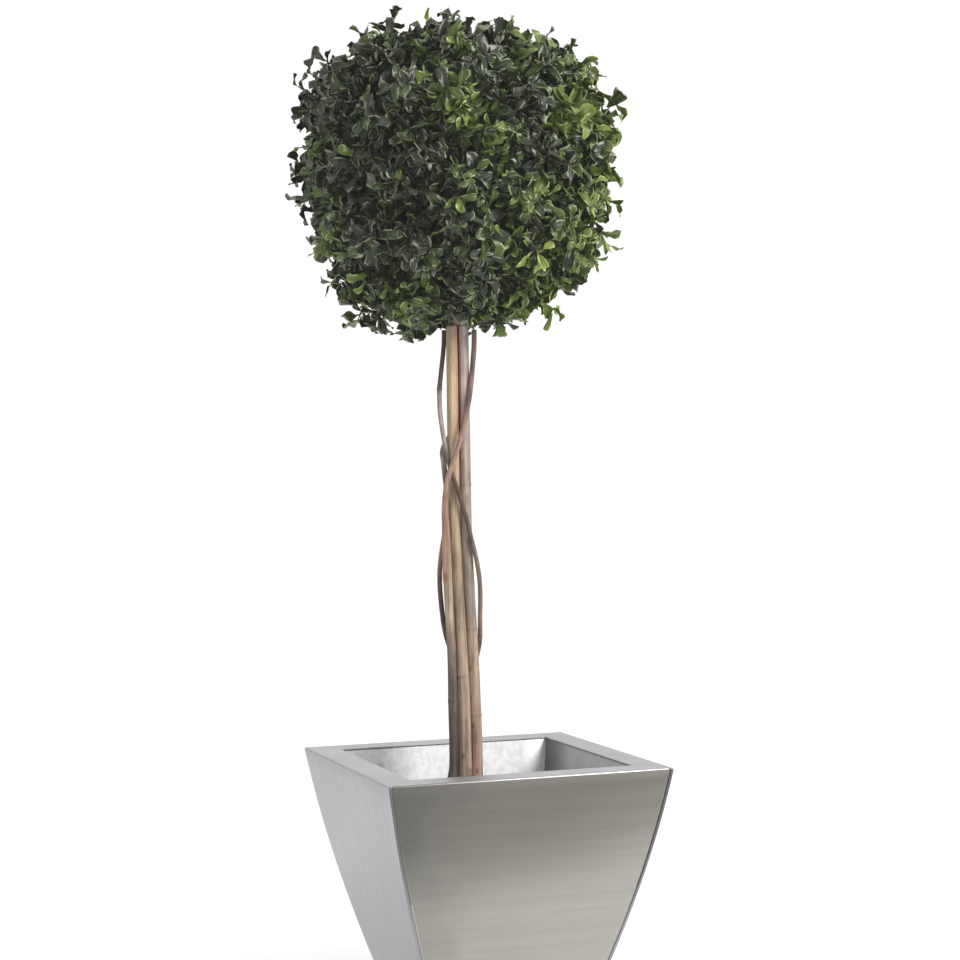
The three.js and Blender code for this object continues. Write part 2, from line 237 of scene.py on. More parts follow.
world = bpy.data.worlds.new("studio")
world.use_nodes = True
bpy.context.scene.world = world
sky = Nodes(world.node_tree)
direction = sky.add("ShaderNodeTexCoord", output="Generated")
upward = sky.add("ShaderNodeSeparateXYZ", {}, {0: direction}, output="Z")
away = sky.add(
    "ShaderNodeVectorMath", {"operation": "DOT_PRODUCT"}, {0: direction, 1: -towards_viewer}, output="Value"
)
light = SKY_SIDES + SKY_ABOVE * sky.between(upward, *ABOVE_FROM)
light = light + SKY_BEHIND * sky.between(away, *BEHIND_FROM)
seen = sky.add("ShaderNodeLightPath", output="Is Camera Ray")
strength = light * (1 - seen) + SKY_SEEN * seen
background = sky.tree.nodes["Background"].inputs
sky.feed(background["Strength"], strength)
sky.feed(background["Color"], WHITE)
print("sky from", SKY_SIDES, "at the sides to", SKY_SIDES + SKY_ABOVE, "above")

# %% [markdown]
# A lens that looks into a white studio scatters a little of the white over the whole picture, so that even
# the hollows of the crown are not quite black. The same faint veil is added when the picture is shown.

# %% Lens veil
VEIL = (0.012, 0.0128, 0.0112)

view = bpy.context.scene.view_settings
view.view_transform = "Standard"
view.look = "None"
view.use_curve_mapping = True
view.curve_mapping.black_level = [-part for part in VEIL]
view.curve_mapping.update()
print("veil", VEIL)

# %% Soft lamp
LAMP_AZIMUTH = math.radians(32)
LAMP_ELEVATION = math.radians(26)
LAMP_DISTANCE = 2.7
LAMP_SIZE = 1.3
LAMP_POWER = 80
LAMP_TARGET = Vector((0, 0, 0.95))

towards_lamp = towards(LAMP_AZIMUTH, LAMP_ELEVATION)
lamp = stand("soft_lamp", bpy.data.lights.new("soft_lamp", "AREA"), LAMP_TARGET, towards_lamp, LAMP_DISTANCE)
lamp.data.size = LAMP_SIZE
lamp.data.energy = LAMP_POWER
print("lamp at", [round(v, 2) for v in lamp.location])


# %% Floor
def deselect_all():
    if bpy.context.mode != "OBJECT":
        bpy.ops.object.mode_set(mode="OBJECT")
    bpy.ops.object.select_all(action="DESELECT")


def add_primitive(kind, name, **settings):
    """A new primitive, selected alone, at its size and place."""
    deselect_all()
    getattr(bpy.ops.mesh, f"primitive_{kind}_add")(**settings)
    bpy.context.object.name = name
    return bpy.context.object


FLOOR_SIZE = 60
FLOOR_GLOW = 0.19
FLOOR_TONES = (0.84, 0.84, 0.84), (0.88, 0.88, 0.88)

floor = add_primitive("plane", "floor", size=FLOOR_SIZE)
pale = Finish("pale_floor")
pale.set(Base_Color=pale.mix(pale.noise(pale.place(), 3.0), *FLOOR_TONES), Roughness=0.7)
floor.data.materials.append(pale.set(Emission_Color=WHITE, Emission_Strength=FLOOR_GLOW))
print("floor", FLOOR_SIZE, "m wide")

# %% [markdown]
# The front of the planter leans outwards, so from here it mirrors the floor before it. In the picture that
# floor is out of the light and the steel is darker towards the rim. Photographers do this with a grey card
# laid just out of view. This card is seen by reflections alone, so it neither shows nor casts a shadow.

# %% Grey card
CARD_NEAR = 0.39
CARD_FAR = 4.0
CARD_HALF_WIDTH = 1.6
CARD_SHIFT = 0.25
CARD_HEIGHT = 0.004
CARD_LIGHT = 0.5
CARD_TONE = (1.0, 0.985, 0.95)

card_middle = (CARD_SHIFT, -(CARD_NEAR + CARD_FAR) / 2, CARD_HEIGHT)
card = add_primitive("plane", "grey_card", size=1, location=card_middle)
bpy.ops.transform.resize(value=(2 * CARD_HALF_WIDTH, CARD_FAR - CARD_NEAR, 1), center_override=card_middle)
for kind in ("camera", "diffuse", "transmission", "volume_scatter", "shadow"):
    setattr(card, "visible_" + kind, False)
grey = Finish("grey_card")
grey.set(Base_Color=(0, 0, 0), Roughness=1.0)
card.data.materials.append(grey.set(Emission_Color=CARD_TONE, Emission_Strength=CARD_LIGHT))
print("card from", CARD_NEAR, "to", CARD_FAR, "m before the planter's middle")

# %% [markdown]
# ## Planter panels
# Each side of the real planter is one sheet of stainless steel, rolled to a slight curve and folded at the
# top into a flat rim. The sheet could be cut from a solid, but a real one is a bent strip, so it is drawn as
# one: a level edge at the foot is extruded up the curve, round the fold and in along the rim, and the strip
# then gets its thickness. The front and back sit between the two sides, whose ends are folded round the
# corners as narrow returns, darkened by painted shade.

# %% Sizes of the planter
panel_low, panel_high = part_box("planter_panel_front")
RIM_HALF = -panel_low.y
PLANTER_HEIGHT = panel_high.z
SHEET = 2 * MM
FIT_GAP = 0.3 * MM
FOOT_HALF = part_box("planter_base")[1].x + SHEET + FIT_GAP
SIDE_BULGE = 9.2 * MM
RIM_FLANGE = 43 * MM
RIM_INNER = RIM_HALF - RIM_FLANGE
FOLD = 2.6 * MM
RETURN = 4.6 * MM
EDGE_SHARE = 0.012
EDGE_BACK = 1.1 * MM
WALL_STEPS = 18
FOLD_STEPS = 4


def side_reach(height):
    share = height / PLANTER_HEIGHT
    chord = FOOT_HALF + (RIM_HALF - FOOT_HALF) * share
    return chord + 4 * SIDE_BULGE * share * (1 - share)


def panel_profile():
    """(reach from the middle, height) of the strip: up the wall, round the fold and in along the rim."""
    wall_top = PLANTER_HEIGHT - FOLD
    wall = [wall_top * step / WALL_STEPS for step in range(WALL_STEPS + 1)]
    points = [(side_reach(height), height) for height in wall]
    fold_reach = points[-1][0] - FOLD
    for step in range(1, FOLD_STEPS + 1):
        angle = math.pi / 2 * step / FOLD_STEPS
        points.append((fold_reach + FOLD * math.cos(angle), wall_top + FOLD * math.sin(angle)))
    points.append((RIM_HALF - RETURN, PLANTER_HEIGHT))
    points.append((RIM_INNER, PLANTER_HEIGHT))
    return points


print("foot and rim width, height:", [round(v, 3) for v in (2 * FOOT_HALF, 2 * RIM_HALF, PLANTER_HEIGHT)])


# %% Selecting by place
def select(piece, kind, wanted):
    """In edit mode, selects the verts, edges or faces that pass a test, and nothing else."""
    bpy.ops.mesh.select_mode(type={"verts": "VERT", "edges": "EDGE", "faces": "FACE"}[kind])
    bpy.ops.mesh.select_all(action="DESELECT")
    shape = bmesh.from_edit_mesh(piece.data)
    for part in getattr(shape, kind):
        if wanted(part):
            part.select_set(True)
    bmesh.update_edit_mesh(piece.data)


def middle(edge):
    return (edge.verts[0].co + edge.verts[1].co) / 2


def apply_modifier(piece, kind, **settings):
    modifier = piece.modifiers.new(kind.lower(), kind)
    for name, value in settings.items():
        setattr(modifier, name, value)
    bpy.ops.object.modifier_apply(modifier=modifier.name)


def show(piece, slot, *nodes):
    """Puts a finished piece in the model: what it rides on and what it stands for. Its finish's slot is not
    used.
    """
    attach(piece, BODY)
    if nodes:
        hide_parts(*nodes)
    piece.data.calc_loop_triangles()
    print(piece.name, len(piece.data.loop_triangles), "triangles")


# %% Bending one panel
def front_half_width(reach, height):
    """A front or back panel stops short of the corner, and its rim is mitred to the inner corner."""
    if height < PLANTER_HEIGHT:
        return reach - RETURN
    return RIM_INNER + (reach - RIM_INNER) * (RIM_FLANGE - RETURN) / RIM_FLANGE - FIT_GAP


def side_half_width(reach, height):
    """A side panel runs to the corner, and its rim fills what the front's rim leaves."""
    if height < PLANTER_HEIGHT:
        return reach - FIT_GAP
    return min(RIM_HALF - FIT_GAP, RIM_INNER + (reach - RIM_INNER) * RIM_FLANGE / (RIM_FLANGE - RETURN))


def bend_panel(name, half_width):
    points = panel_profile()
    halves = [half_width(reach, height) for reach, height in points]
    foot = halves[0]
    back = foot - points[0][0]
    panel = add_primitive("plane", name, size=2 * foot, location=(0, back, 0))
    bpy.ops.object.transform_apply(location=True)
    bpy.ops.object.mode_set(mode="EDIT")
    select(panel, "verts", lambda vert: vert.co.y > back)
    bpy.ops.mesh.delete(type="VERT")
    bpy.ops.mesh.select_all(action="SELECT")
    bpy.ops.mesh.subdivide(number_cuts=2)
    # The cuts lie a third of the way out, and are moved almost to the ends.
    select(panel, "verts", lambda vert: abs(vert.co.x) < 0.9 * foot)
    bpy.ops.transform.resize(value=(3 * (1 - EDGE_SHARE), 1, 1), center_override=(0, 0, 0))
    bpy.ops.mesh.select_all(action="SELECT")
    for step in range(1, len(points)):
        rise = (0, points[step - 1][0] - points[step][0], points[step][1] - points[step - 1][1])
        bpy.ops.mesh.extrude_edges_move(TRANSFORM_OT_translate={"value": rise})
        bpy.ops.transform.resize(value=(halves[step] / halves[step - 1], 1, 1), center_override=(0, 0, 0))
    bpy.ops.mesh.select_all(action="SELECT")
    bpy.ops.mesh.normals_make_consistent(inside=False)
    wall = min(bmesh.from_edit_mesh(panel.data).faces, key=lambda face: face.calc_center_median().z)
    if wall.normal.y > 0:
        bpy.ops.mesh.flip_normals()
    return panel


print("profile points:", len(panel_profile()))

# %% Finishing one panel
SOFT_EDGE = 0.45 * MM


def at_wall_end(place):
    """Whether a point of the strip lies at one of its two ends, below the fold."""
    return place.z < PLANTER_HEIGHT - FOLD / 2 and abs(place.x) > side_reach(place.z) - RETURN - MM


def on_rim(face):
    return face.calc_center_median().z > PLANTER_HEIGHT - 0.1 * MM


def lay_finish(panel, finish, wanted):
    """Gives the faces that pass a test a finish of their own."""
    panel.data.materials.append(finish)
    select(panel, "faces", wanted)
    panel.active_material_index = len(panel.data.materials) - 1
    bpy.ops.object.material_slot_assign()


def finish_panel(panel, quarter):
    """Gives the strip its thickness and soft edges, and turns it to its side of the planter."""
    bpy.ops.object.mode_set(mode="OBJECT")
    # A cut edge takes the finish that was laid before its face's own, which is the bare edge for the rim.
    sheet = {"thickness": SHEET, "offset": -1, "use_even_offset": True, "material_offset_rim": -1}
    apply_modifier(panel, "SOLIDIFY", **sheet)
    corners = {"limit_method": "ANGLE", "angle_limit": math.radians(40)}
    apply_modifier(panel, "BEVEL", width=SOFT_EDGE, segments=2, **corners)
    bpy.ops.transform.rotate(value=-quarter * math.pi / 2, orient_axis="Z", center_override=(0, 0, 0))
    bpy.ops.object.transform_apply(rotation=True)
    bpy.ops.object.shade_smooth_by_angle(angle=math.radians(30))


print("sheet", SHEET, "m thick, edges softened by", SOFT_EDGE, "m")

# %% [markdown]
# ### Brushed steel
# Stainless sheet is brushed with a belt that leaves long fine scratches, level on the front and upright on
# the sides. A picture of scratches could be wrapped on, but noise that is stretched along the belt's run
# gives the same and never repeats. The scratches change the colour a little, the roughness more, and lift
# the surface by a hair.

# %% Steel finishes
# Painted shade on the level panels, darker towards their -X end.
PAINTED_SHADE_END, PAINTED_SHADE_TONE = (-0.19, -0.05), (0.02, 0.02, 0.02)


def brushed_steel(name, fine, broad, dark, light, roughness=0.27, painted_end_shade=0.0):
    """Scratches run along the small numbers of fine and broad. Painted shade darkens the -X end, by that
    share.
    """
    steel = Finish(name)
    scratches = steel.noise(steel.place(fine), detail=4.0, roughness=0.65)
    bands = steel.noise(steel.place(broad), detail=2.0)
    clouds = steel.noise(steel.place(), 9.0, 2.0)
    tone = steel.between(0.5 * scratches + 0.3 * bands + 0.2 * clouds, 0.34, 0.66)
    colour = steel.mix(tone, dark, light)
    # Painted shade towards the -X end.
    if painted_end_shade:
        across = steel.along("X") + 0.1 * (clouds - 0.5)
        colour = steel.mix(painted_end_shade * (1 - steel.between(across, *PAINTED_SHADE_END)), colour, PAINTED_SHADE_TONE)
    return steel.set(
        Base_Color=colour,
        Metallic=1.0,
        Roughness=roughness + 0.1 * scratches + 0.07 * clouds,
        Normal=steel.bump(scratches, 0.16, 0.25 * MM),
    )


WARM = ((0.324, 0.313, 0.287), (0.376, 0.364, 0.335))
COOL = ((0.315, 0.313, 0.329), (0.378, 0.376, 0.392))
# A darker copy of the upright steel, painted shade for the returns in the corners.
PAINTED_RETURN_SHADE = ((0.24, 0.242, 0.25), (0.32, 0.322, 0.33))
RIM = ((0.36, 0.358, 0.37), (0.435, 0.433, 0.447))
BRIGHT = ((0.42, 0.42, 0.42), (0.54, 0.54, 0.54))
ALONG, ACROSS = 5, 1300
level_steel = brushed_steel("steel_brushed_level", (ALONG, ALONG, ACROSS), (1.6, 1.6, 90), *WARM, painted_end_shade=0.31)
upright_steel = brushed_steel("steel_brushed_upright", (ACROSS, ACROSS, ALONG), (70, 70, 1.5), *COOL)
rim_steel = brushed_steel("steel_rim", (40, 40, 40), (9, 9, 9), *RIM, roughness=0.36)
base_steel = brushed_steel("steel_base", (ALONG, ACROSS, ALONG), (2, 70, 2), *COOL)
painted_shade_return = brushed_steel("steel_dull_return", (ACROSS, ACROSS, ALONG), (60, 60, 2), *PAINTED_RETURN_SHADE)
bare_edge = brushed_steel("steel_bare_edge", (300, 300, 40), (20, 20, 8), *BRIGHT, roughness=0.5)
print("steel finishes:", level_steel.name, upright_steel.name, painted_shade_return.name, bare_edge.name)

# %% Front and back panels
for quarter, side in ((0, "front"), (2, "back")):
    panel = bend_panel("steel_panel_" + side, front_half_width)
    select(panel, "verts", lambda v: at_wall_end(v.co) and v.is_boundary and len(v.link_faces) < 3)
    bpy.ops.transform.translate(value=(0, EDGE_BACK, 0))
    lay_finish(panel, level_steel, lambda face: True)
    lay_finish(panel, bare_edge, lambda face: at_wall_end(face.calc_center_median()))
    lay_finish(panel, rim_steel, on_rim)
    finish_panel(panel, quarter)
    show(panel, "planter_steel", "planter_panel_" + side)

# %% Side panels
for quarter, side in ((1, "right"), (3, "left")):
    panel = bend_panel("steel_panel_" + side, side_half_width)
    select(panel, "edges", lambda e: e.is_boundary and middle(e).z > MM and at_wall_end(middle(e)))
    bpy.ops.mesh.extrude_edges_move(TRANSFORM_OT_translate={"value": (0, RETURN - 2 * FIT_GAP, 0)})
    lay_finish(panel, upright_steel, lambda face: True)
    # The returns get painted shade.
    lay_finish(panel, painted_shade_return, lambda face: abs(face.normal.x) > 0.7)
    panel.data.materials.append(bare_edge)
    lay_finish(panel, rim_steel, on_rim)
    finish_panel(panel, quarter)
    show(panel, "planter_steel", "planter_panel_" + side)

# %% Base plate
base_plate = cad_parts["planter_base"]
base_plate.data.materials.clear()
base_plate.data.materials.append(base_steel)
print("base plate keeps its measured shape")

# %% [markdown]
# ## Liner
# Inside the planter hangs a tub of galvanised sheet, whose bright spangled zinc shows above the soil. It is
# folded from one sheet, so a cube is tapered, opened at the top, rounded at its upright corners and given the
# sheet's thickness.

# %% Zinc
# Painted shade and painted light on the zinc: where they lie and their tones.
CORNER_SHADE_SPAN = (0.012, 0.030)
CORNER_SHADE_SHIFT = 0.022
LIT_END = (0.115, 0.15)
SIDE_CORNER = (0.015, 0.1)
FLAKE_TONES = (0.28, 0.28, 0.29), (0.43, 0.43, 0.43)
LIT_TONE, ZINC_SHADE_TONE = (0.74, 0.745, 0.77), (0.15, 0.155, 0.17)


def spangled_zinc():
    """Bright flakes, painted shade in the corners, painted light and shade by the back right corner."""
    zinc = Finish("zinc_spangled")
    flakes = zinc.noise(zinc.place((1, 1, 0.6)), 170.0, 4.0, 0.7)
    cloud = zinc.noise(zinc.place((1, 1, 1.6)), 34.0, 5.0, 0.65)
    wander = zinc.noise(zinc.place(), 11.0, 3.0)
    tone = zinc.between(0.4 * flakes + 0.6 * cloud, 0.34, 0.62)
    mottled = zinc.mix(tone, *FLAKE_TONES)
    across, along = zinc.along("X"), zinc.along("Y")
    corner = (across - CORNER_SHADE_SHIFT) * along + 0.006 * (wander - 0.5)
    corner = zinc.add("ShaderNodeMath", {"operation": "ABSOLUTE"}, {0: corner})
    on_side = zinc.between(across - along, -0.002, 0.002)
    lit = zinc.between(across, *LIT_END) * (1 - on_side)
    past_corner = zinc.between(across - along, *SIDE_CORNER)
    # Painted shade on the right side by the back corner.
    side = on_side * (0.85 - 0.85 * past_corner)
    # Painted shade towards the upright corners, left off the painted light.
    corner_shade = 0.12 * zinc.between(corner, *CORNER_SHADE_SPAN) * (1 - lit)
    zinc_shade = zinc.add("ShaderNodeMath", {"operation": "MAXIMUM"}, {0: corner_shade, 1: side})
    # Painted light on the back wall's right end and along the right side away from the corner.
    mottled = zinc.mix(0.75 * lit + 0.4 * on_side * past_corner, mottled, LIT_TONE)
    return zinc.set(
        Base_Color=zinc.mix(zinc_shade, mottled, ZINC_SHADE_TONE),
        Metallic=0.55,
        Roughness=0.36 + 0.22 * cloud,
        Normal=zinc.bump(cloud, 0.25, 0.5 * MM),
    )


zinc = spangled_zinc()
print("zinc finish:", zinc.name)

# %% Folded tub
LINER_SHEET = 1.5 * MM
LINER_CORNER = 3 * MM
LINER_FLOOR_SHARE = 270 / 320
liner_low, liner_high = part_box("planter_liner")
liner_depth = liner_high.z - liner_low.z
liner_width = liner_high.x - liner_low.x

liner_middle = Vector((0, 0, (liner_low.z + liner_high.z) / 2))
liner = add_primitive("cube", "zinc_liner", size=1, location=liner_middle)
bpy.ops.object.transform_apply(location=True)
bpy.ops.object.mode_set(mode="EDIT")
bpy.ops.transform.resize(value=(liner_width, liner_width, liner_depth), center_override=liner_middle)
select(liner, "verts", lambda vert: vert.co.z < liner_middle.z)
bpy.ops.transform.resize(value=(LINER_FLOOR_SHARE, LINER_FLOOR_SHARE, 1), center_override=(0, 0, liner_low.z))
select(liner, "faces", lambda face: face.normal.z > 0.9)
bpy.ops.mesh.delete(type="ONLY_FACE")
select(liner, "edges", lambda edge: abs(edge.verts[0].co.z - edge.verts[1].co.z) > liner_depth / 2)
bpy.ops.mesh.bevel(offset=LINER_CORNER, segments=5)
bpy.ops.object.mode_set(mode="OBJECT")
apply_modifier(liner, "SOLIDIFY", thickness=LINER_SHEET, offset=-1, use_even_offset=True)
apply_modifier(liner, "BEVEL", width=0.4 * MM, segments=2, limit_method="ANGLE", angle_limit=math.radians(50))
bpy.ops.object.shade_smooth_by_angle(angle=math.radians(35))
liner.data.materials.append(zinc)
show(liner, "liner_steel", "planter_liner")

# %% [markdown]
# ## Potting mix
# The tub is filled with dark potting mix: crumbs of peat with bits of bark lying in it. A grid is roughened
# by cloud noise and given sides, so that it is a solid block of soil. The bits of bark are many and small,
# so they are worked out as arrays and joined into one mesh.

# %% Soil
SOIL_ROUGHNESS = 9 * MM
SOIL_GRAIN = 26 * MM
SOIL_CELLS = 90
SOIL_FOOT_SHARE = 0.89
PEAT_TONES = (0.012, 0.009, 0.007), (0.075, 0.052, 0.036)
soil_low, soil_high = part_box("potting_mix")
soil_width = soil_high.x - soil_low.x
soil_top = soil_high.z - SOIL_ROUGHNESS / 2

cells = {"x_subdivisions": SOIL_CELLS, "y_subdivisions": SOIL_CELLS}
soil = add_primitive("grid", "potting_soil", size=soil_width - MM, location=(0, 0, soil_top), **cells)
bpy.ops.object.transform_apply(location=True)
crumbs = bpy.data.textures.new("soil_crumbs", "CLOUDS")
crumbs.noise_scale = SOIL_GRAIN
crumbs.noise_depth = 5
crumbling = {"strength": SOIL_ROUGHNESS, "mid_level": 0.5, "direction": "Z"}
apply_modifier(soil, "DISPLACE", texture=crumbs, texture_coords="LOCAL", **crumbling)
surface = np.array([vert.co for vert in soil.data.vertices])
bpy.ops.object.mode_set(mode="EDIT")
select(soil, "edges", lambda edge: edge.is_boundary)
bpy.ops.mesh.extrude_edges_move(TRANSFORM_OT_translate={"value": (0, 0, soil_low.z - soil_top)})
bpy.ops.transform.resize(value=(SOIL_FOOT_SHARE, SOIL_FOOT_SHARE, 0), center_override=(0, 0, soil_low.z))
bpy.ops.mesh.edge_face_add()
bpy.ops.mesh.select_all(action="SELECT")
bpy.ops.mesh.normals_make_consistent(inside=False)
bpy.ops.object.mode_set(mode="OBJECT")
peat = Finish("peat")
crumb = peat.noise(peat.place(), 190.0, 6.0, 0.7)
damp = peat.noise(peat.place(), 22.0, 3.0)
dry = peat.between(0.7 * crumb + 0.3 * damp, 0.35, 0.7)
peat.set(Base_Color=peat.mix(dry, *PEAT_TONES), Roughness=0.95)
soil.data.materials.append(peat.set(Normal=peat.bump(crumb, 0.8, 1.5 * MM)))
show(soil, "potting_mix", "potting_mix")


# %% Meshes from arrays
def mesh_piece(name, points, faces, finishes, slots=None):
    """A piece from an array of points and arrays of faces, each array with its own number of corners."""
    mesh = bpy.data.meshes.new(name)
    corners = np.concatenate([np.asarray(face).ravel() for face in faces])
    sizes = np.concatenate([np.full(len(face), np.shape(face)[1]) for face in faces])
    mesh.vertices.add(len(points))
    mesh.vertices.foreach_set("co", np.asarray(points, np.float32).ravel())
    mesh.loops.add(len(corners))
    mesh.loops.foreach_set("vertex_index", corners.astype(np.int32))
    mesh.polygons.add(len(sizes))
    mesh.polygons.foreach_set("loop_start", (np.cumsum(sizes) - sizes).astype(np.int32))
    for finish in finishes:
        mesh.materials.append(finish)
    if slots is not None:
        mesh.polygons.foreach_set("material_index", slots.astype(np.int32))
    mesh.update(calc_edges=True)
    mesh.validate()
    piece = bpy.data.objects.new(name, mesh)
    bpy.context.scene.collection.objects.link(piece)
    return piece


def smoothstep(value, low, high):
    share = np.clip((value - low) / (high - low), 0, 1)
    return share * share * (3 - 2 * share)


def around(sides):
    """Even angles round a tube."""
    return np.arange(sides) * 2 * np.pi / sides


def tube_faces(sides, rings, count=1):
    """Walls and end caps of tubes whose points lie ring by ring, one tube after another."""
    corner = np.arange(sides)
    row = sides * np.arange(rings - 1)[:, None]
    lower, after = corner + row, (corner + 1) % sides + row
    walls = np.stack([lower, after, after + sides, lower + sides], axis=-1).reshape(-1, 4)
    caps = np.stack([corner[::-1], corner + sides * (rings - 1)])
    starts = sides * rings * np.arange(count)[:, None, None]
    return [(walls + starts).reshape(-1, 4), (caps + starts).reshape(-1, sides)]


print("walls and caps of a tube with 6 sides and 3 rings:", [len(faces) for faces in tube_faces(6, 3)])

# %% Bits of bark in the soil
CHIP_COUNT = 900
CHIP_LENGTH = 9 * MM
CHIP_SHAPE = np.array([0.5, 0.28, 0.1])
CHIP_TILT = 0.3
CHIP_TONES = (0.035, 0.02, 0.012), (0.16, 0.095, 0.055)
CHIP_SEED = 5
chip_draw = np.random.default_rng(CHIP_SEED)
CHIP_CORNERS = np.array([(x, y, z) for x in (-1, 1) for y in (-1, 1) for z in (-1, 1)], float)
CHIP_FACES = np.array([(0, 1, 3, 2), (4, 6, 7, 5), (0, 4, 5, 1), (2, 3, 7, 6), (0, 2, 6, 4), (1, 5, 7, 3)])

spots = surface[chip_draw.integers(0, len(surface), CHIP_COUNT)]
spots = spots[np.abs(spots[:, :2]).max(axis=1) < soil_width / 2 - CHIP_LENGTH]
chips = len(spots)
sizes = CHIP_LENGTH * chip_draw.uniform(0.35, 1.0, (chips, 1)) * CHIP_SHAPE
shapes = CHIP_CORNERS * (sizes[:, None] * chip_draw.uniform(0.6, 1.2, (chips, 8, 3)))
chip_turns = chip_draw.uniform(0, 2 * np.pi, chips)
chip_tilts, chip_leans = chip_draw.normal(0, CHIP_TILT, (2, chips))
turns = [
    Quaternion((0, 0, 1), turn) @ Quaternion((1, 0, 0), tilt) @ Quaternion((0, 1, 0), lean)
    for turn, tilt, lean in zip(chip_turns, chip_tilts, chip_leans)
]
turned = np.einsum("nij,nkj->nki", np.array([np.array(turn.to_matrix()) for turn in turns]), shapes)
chip_points = turned + spots[:, None]
chip_faces = CHIP_FACES + 8 * np.arange(chips)[:, None, None]
chip_bark = Finish("chip_bark")
fibre = chip_bark.noise(chip_bark.place((1, 1, 3)), 160.0, 4.0)
chip_colour = chip_bark.mix(chip_bark.between(fibre, 0.3, 0.7), *CHIP_TONES)
chip_bark.set(Base_Color=chip_colour, Roughness=0.85, Normal=chip_bark.bump(fibre, 0.5, 0.5 * MM))
chip_points, chip_faces = chip_points.reshape(-1, 3), chip_faces.reshape(-1, 4)
bark_bits = mesh_piece("soil_bark_bits", chip_points, [chip_faces], [chip_bark.material])
show(bark_bits, "potting_mix")

# %% [markdown]
# ## Canes
# The bare trunk is a bundle of three canes, with the rings and fine upright cracks of old wood. They could be
# curves with a round bevel, but such a tube has no relief. Here each cane is a stack of level rings whose
# radius changes with the angle and the height: a slow taper, a flare at the foot, shallow ridges along the
# grain, and raised rings where leaves once grew. The whole bundle sways a little to one side.

# %% Where the plant stands
PLANT_TURN = math.radians(-20)
PLANT_OFFSET = -25 * MM
STEM_FOOT = soil_high.z + FIT_GAP
turn_cos, turn_sin = math.cos(PLANT_TURN), math.sin(PLANT_TURN)
TURN_ROWS = np.array([[turn_cos, -turn_sin], [turn_sin, turn_cos]])
SWAY_FOOT, SWAY_TOP = 6 * MM, -4 * MM
SWAY_HEIGHTS = (0.380, 0.710)


def from_plant(points):
    """Points in the plant's own frame, whose front faces the viewer, brought to the planter's frame."""
    moved = np.array(points, float)
    moved[..., 0] += PLANT_OFFSET
    moved[..., :2] = moved[..., :2] @ TURN_ROWS.T
    return moved


def sway_at(height):
    return SWAY_FOOT + (SWAY_TOP - SWAY_FOOT) * smoothstep(height, *SWAY_HEIGHTS)


def polar(reach, angle):
    return np.stack([reach * np.cos(angle), reach * np.sin(angle)], axis=-1)


print("stems stand at", from_plant([[SWAY_FOOT, 0, STEM_FOOT]]).round(4).tolist())

# %% Cane rules
CANE_TOP = 0.958
CANE_FOOT_RADIUS = 9 * MM
CANE_TIP_RADIUS = 7.8 * MM
CANE_FLARE = 1 * MM
CANE_FLARE_HEIGHT = 45 * MM
CANE_GAP = 0.5 * MM
CANE_TWIST = math.radians(-25)


def stem_share(height):
    """Nought at the soil and one at the canes' tops."""
    return (height - STEM_FOOT) / (CANE_TOP - STEM_FOOT)


def cane_radius(height):
    taper = CANE_FOOT_RADIUS + (CANE_TIP_RADIUS - CANE_FOOT_RADIUS) * stem_share(height)
    return taper + CANE_FLARE * np.exp((STEM_FOOT - height) / CANE_FLARE_HEIGHT)


def cane_centre(first_angle, height):
    spread = (2 * cane_radius(height) + CANE_GAP) / math.sqrt(3)
    return polar(spread, first_angle + CANE_TWIST * stem_share(height))


print("cane radius from", cane_radius(STEM_FOOT).round(4), "to", cane_radius(CANE_TOP).round(4))

# %% Stems with relief
RIDGE_DRIFT = 9
RIDGE_SWAY = (0.5, 1.6)
SWAY_RATES, FADE_RATES = (8, 26), (15, 60)
PHASES = (0, 6.28)


def ridges(angle, height, seed, orders):
    """Shallow ridges along the grain: waves round the stem that drift slowly with height."""
    draw = np.random.default_rng(seed)

    def wave(rates):
        return np.sin(height * draw.uniform(*rates) + draw.uniform(*PHASES))

    total = np.zeros(np.broadcast(angle, height).shape)
    for order in orders:
        drift = draw.normal(0, RIDGE_DRIFT)
        sway = draw.uniform(*RIDGE_SWAY) * wave(SWAY_RATES)
        fade = 0.6 + 0.4 * wave(FADE_RATES)
        total += fade * np.cos(order * angle + drift * height + sway + draw.uniform(*PHASES)) / len(orders)
    return total


def angle_from(angle, degrees):
    """How far angles are turned from a number of degrees, the short way round, in radians."""
    return np.angle(np.exp(1j * (angle - math.radians(degrees))))


def spot(angle, height, place, degrees, tall, wide):
    """One at a spot on a stem, falling off over a height and an angle."""
    return np.exp(-(((height - place) / tall) ** 2) - (angle_from(angle, degrees) / math.radians(wide)) ** 2)


def band(height, place, tall):
    return np.exp(-(((height - place) / tall) ** 2))


def stem_piece(name, finish, heights, centres, radii, relief, marks):
    """A stack of level rings. Relief is a share of the radius, and marks are values the finish reads."""
    rings, sides = relief.shape
    reach = radii[:, None] * (1 + relief)
    points = np.empty((rings, sides, 3))
    points[..., :2] = centres[:, None] + polar(reach, around(sides))
    points[..., 0] += sway_at(heights)[:, None]
    points[..., 2] = heights[:, None]
    piece = mesh_piece(name, from_plant(points).reshape(-1, 3), tube_faces(sides, rings), [finish])
    for label, values in marks.items():
        attribute = piece.data.attributes.new(label, "FLOAT", "POINT")
        attribute.data.foreach_set("value", np.broadcast_to(values, reach.shape).astype(np.float32).ravel())
    return piece


print("relief helpers ready")

# %% [markdown]
# ### Bark
# Old canes are grey-brown with paler and redder streaks along the grain, and dark at the rings. The main
# colour changes along each stem, so it is a ramp over the height. Noise that is squeezed sideways lays the
# streaks over it, and marks on the mesh say where a flank, a knot, a ring or a scar has another colour.

# %% Bark finishes
FIBRES, STREAKS, PATCHES, FLECKS = (520, 520, 16), (210, 210, 5), (60, 60, 22), (150, 150, 30)
BLUSH = (0.2, 0.12, 0.08)
RING_COLOUR = (0.03, 0.022, 0.018)


